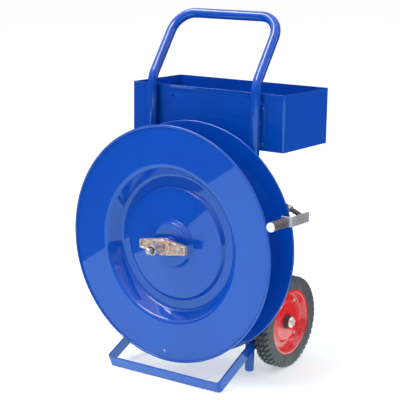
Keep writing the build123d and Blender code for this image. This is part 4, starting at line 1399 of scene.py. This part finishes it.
@dataclass
class Studio:
    """Pale floor, soft lamps, surroundings and camera."""

    azimuth: float = 35.309
    elevation: float = 14.111
    distance: float = 3.27136
    roll: float = -0.78
    lens: float = 113.222
    target: tuple[float, float, float] = (-0.01657, 0.0, 0.4321)
    floor_size: float = 60.0
    floor_glow: float = 0.30
    card_height: float = 0.002
    card_near: float = 0.3
    card_far: float = -8.0
    card_right: float = 6.0
    card_left_near: float = -0.50
    card_left_far: float = -3.78
    card_colour: tuple[float, float, float] = (0.63, 0.98, 0.98)
    card_strength: float = 1.6
    sky_low: float = 0.015
    sky_high: float = 1.5
    air_light: float = 0.78
    lamps: tuple[SoftBox, ...] = field(default_factory=lambda: (
        SoftBox("top_lamp", (-1.1, -1.0, 3.4), (3.4, 0.6), 105.0),
        SoftBox("left_strip", (-3.0, -0.2, 1.9), (0.12, 2.2), 5.0),
        SoftBox("right_strip", (2.6, 1.2, 1.7), (0.12, 2.4), 16.0),
    ))

    def build(self) -> None:
        """Set up everything that isn't the cart."""
        self._floor()
        self._card("floor_card", [(self.card_left_near, self.card_near, self.card_height),
                                  (self.card_left_far, self.card_far, self.card_height),
                                  (self.card_right, self.card_far, self.card_height),
                                  (self.card_right, self.card_near, self.card_height)])
        self._surroundings()
        for lamp in self.lamps:
            self._lamp(lamp)
        self._camera()
        bpy.context.scene.view_settings.view_transform = "Standard"

    def _floor(self) -> None:
        """Pale matt floor."""
        half = self.floor_size / 2
        mesh = bpy.data.meshes.new("studio_floor")
        mesh.from_pydata([(-half, -half, 0), (half, -half, 0), (half, half, 0), (-half, half, 0)],
                         [], [(0, 1, 2, 3)])
        material = bpy.data.materials.new("studio_floor")
        material.use_nodes = True
        shader = material.node_tree.nodes["Principled BSDF"]
        shader.inputs["Base Color"].default_value = (0.86, 0.86, 0.865, 1)
        shader.inputs["Roughness"].default_value = 0.9
        shader.inputs["Emission Color"].default_value = (1, 1, 1, 1)
        shader.inputs["Emission Strength"].default_value = self.floor_glow
        mesh.materials.append(material)
        floor = bpy.data.objects.new("studio_floor", mesh)
        bpy.context.scene.collection.objects.link(floor)
        floor.visible_glossy = False

    def _card(self, name: str, corners: Sequence[tuple[float, float, float]]) -> None:
        """Glowing card that only shows in glossy surfaces, as a studio's reflector does."""
        mesh = bpy.data.meshes.new(name)
        mesh.from_pydata(list(corners), [], [tuple(range(len(corners)))])
        material = bpy.data.materials.new(name)
        material.use_nodes = True
        material.node_tree.nodes.clear()
        nodes = Nodes(material.node_tree)
        glow = nodes.add("ShaderNodeEmission", Color=(*self.card_colour, 1),
                         Strength=self.card_strength)
        out = nodes.add("ShaderNodeOutputMaterial")
        material.node_tree.links.new(glow.outputs[0], out.inputs["Surface"])
        mesh.materials.append(material)
        card = bpy.data.objects.new(name, mesh)
        bpy.context.scene.collection.objects.link(card)
        card.visible_camera = card.visible_diffuse = card.visible_shadow = False
        card.visible_transmission = card.visible_volume_scatter = False

    def _surroundings(self) -> None:
        """White to the camera, a soft grey sky to glossy paint and pale light to the rest."""
        world = bpy.data.worlds.new("studio_air")
        bpy.context.scene.world = world
        world.use_nodes = True
        tree = world.node_tree
        tree.nodes.clear()
        nodes = Nodes(tree)
        path = nodes.add("ShaderNodeLightPath")
        height = nodes.add("ShaderNodeSeparateXYZ",
                           Vector=nodes.add("ShaderNodeTexCoord").outputs["Generated"])
        sky = nodes.add("ShaderNodeMapRange", Value=height.outputs["Z"], From_Min=0.1,
                        From_Max=1.0, To_Min=self.sky_low, To_Max=self.sky_high)
        plain = nodes.add("ShaderNodeBackground", Strength=self.air_light)
        glossy = nodes.add("ShaderNodeBackground", Strength=sky.outputs["Result"])
        white = nodes.add("ShaderNodeBackground", Strength=1.0)
        for shader in (plain, glossy, white):
            shader.inputs["Color"].default_value = (1, 1, 1, 1)
        soft = nodes.add("ShaderNodeMixShader", Fac=path.outputs["Is Glossy Ray"])
        tree.links.new(plain.outputs[0], soft.inputs[1])
        tree.links.new(glossy.outputs[0], soft.inputs[2])
        seen = nodes.add("ShaderNodeMixShader", Fac=path.outputs["Is Camera Ray"])
        tree.links.new(soft.outputs[0], seen.inputs[1])
        tree.links.new(white.outputs[0], seen.inputs[2])
        out = nodes.add("ShaderNodeOutputWorld")
        tree.links.new(seen.outputs[0], out.inputs["Surface"])

    def _lamp(self, box: SoftBox) -> None:
        """Rectangular lamp turned towards the cart's middle."""
        data = bpy.data.lights.new(box.name, "AREA")
        data.shape = "RECTANGLE"
        data.size, data.size_y = box.size
        data.energy, data.color = box.power, box.colour
        lamp = bpy.data.objects.new(box.name, data)
        lamp.location = box.place
        way = Vector(self.target) - Vector(box.place)
        lamp.rotation_mode = "QUATERNION"
        lamp.rotation_quaternion = way.to_track_quat("-Z", "Y")
        bpy.context.scene.collection.objects.link(lamp)

    def _camera(self) -> None:
        """Camera at its azimuth, elevation and distance from the target, rolled about its view."""
        turn, rise = math.radians(self.azimuth), math.radians(self.elevation)
        back = Vector((math.sin(turn) * math.cos(rise), -math.cos(turn) * math.cos(rise),
                       math.sin(rise)))
        data = bpy.data.cameras.new("camera")
        data.lens, data.sensor_width = self.lens, 36.0
        data.clip_end = 200.0
        camera = bpy.data.objects.new("camera", data)
        camera.rotation_mode = "QUATERNION"
        look = (-back).to_track_quat("-Z", "Y").to_matrix().to_4x4()
        roll = Matrix.Rotation(math.radians(self.roll), 4, "Z")
        camera.location = Vector(self.target) + back * self.distance
        camera.rotation_quaternion = (look @ roll).to_quaternion()
        bpy.context.scene.collection.objects.link(camera)
        bpy.context.scene.camera = camera


def mast_frame(joints: Sequence[dict[str, object]]) -> MakersFrame:
    """The mast's frame, from the reel's joint.

    The joint's axis is the mast's forward direction, and its place is known in the mast's
    own frame: 89 mm in front of the posts and 337 mm up them.

    Args:
        joints: The record's joints.

    Returns:
        The frame.
    """
    reel = next(joint for joint in joints if joint["name"] == "reel_spin")
    rearward = -unit(reel["axis"])
    upward = np.cross((1.0, 0.0, 0.0), rearward)
    origin = np.asarray(reel["pos_m"], float) + MM * (89.0 * rearward - 337.0 * upward)
    return MakersFrame(tuple(origin), tuple(rearward), tuple(upward))


def main() -> None:
    """Load the frame, build the cart's pieces round it and set up the studio."""
    logging.basicConfig(level=logging.INFO, format="%(name)s: %(message)s")
    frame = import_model()
    mast = mast_frame(frame["joints"])
    floor = MakersFrame((mast.origin[0], mast.origin[1], 0.0))
    shop = Workshop(mast, floor, PaintShop(), frame["nodes"])
    Studio().build()
    parts = [
        Mast(),
        PressedDisc("rear_disc", "reel", -36.0, -1, 12.5),
        PressedDisc("front_disc", "front_flange", -142.0, 1, 15.0, strap_hole=True),
        Hub(),
        Clamp(),
        Tray(),
        FootLoop(),
        Axle(),
        Wheel(Hand.LEFT),
        Wheel(Hand.RIGHT),
        BrakeArm(),
    ]
    for part in parts:
        part.build(shop)
    shop.dress_frame_nodes(frame["record"]["subparts"])
    LOG.info("%d pieces made", shop.made)


if __name__ == "__main__":
    main()
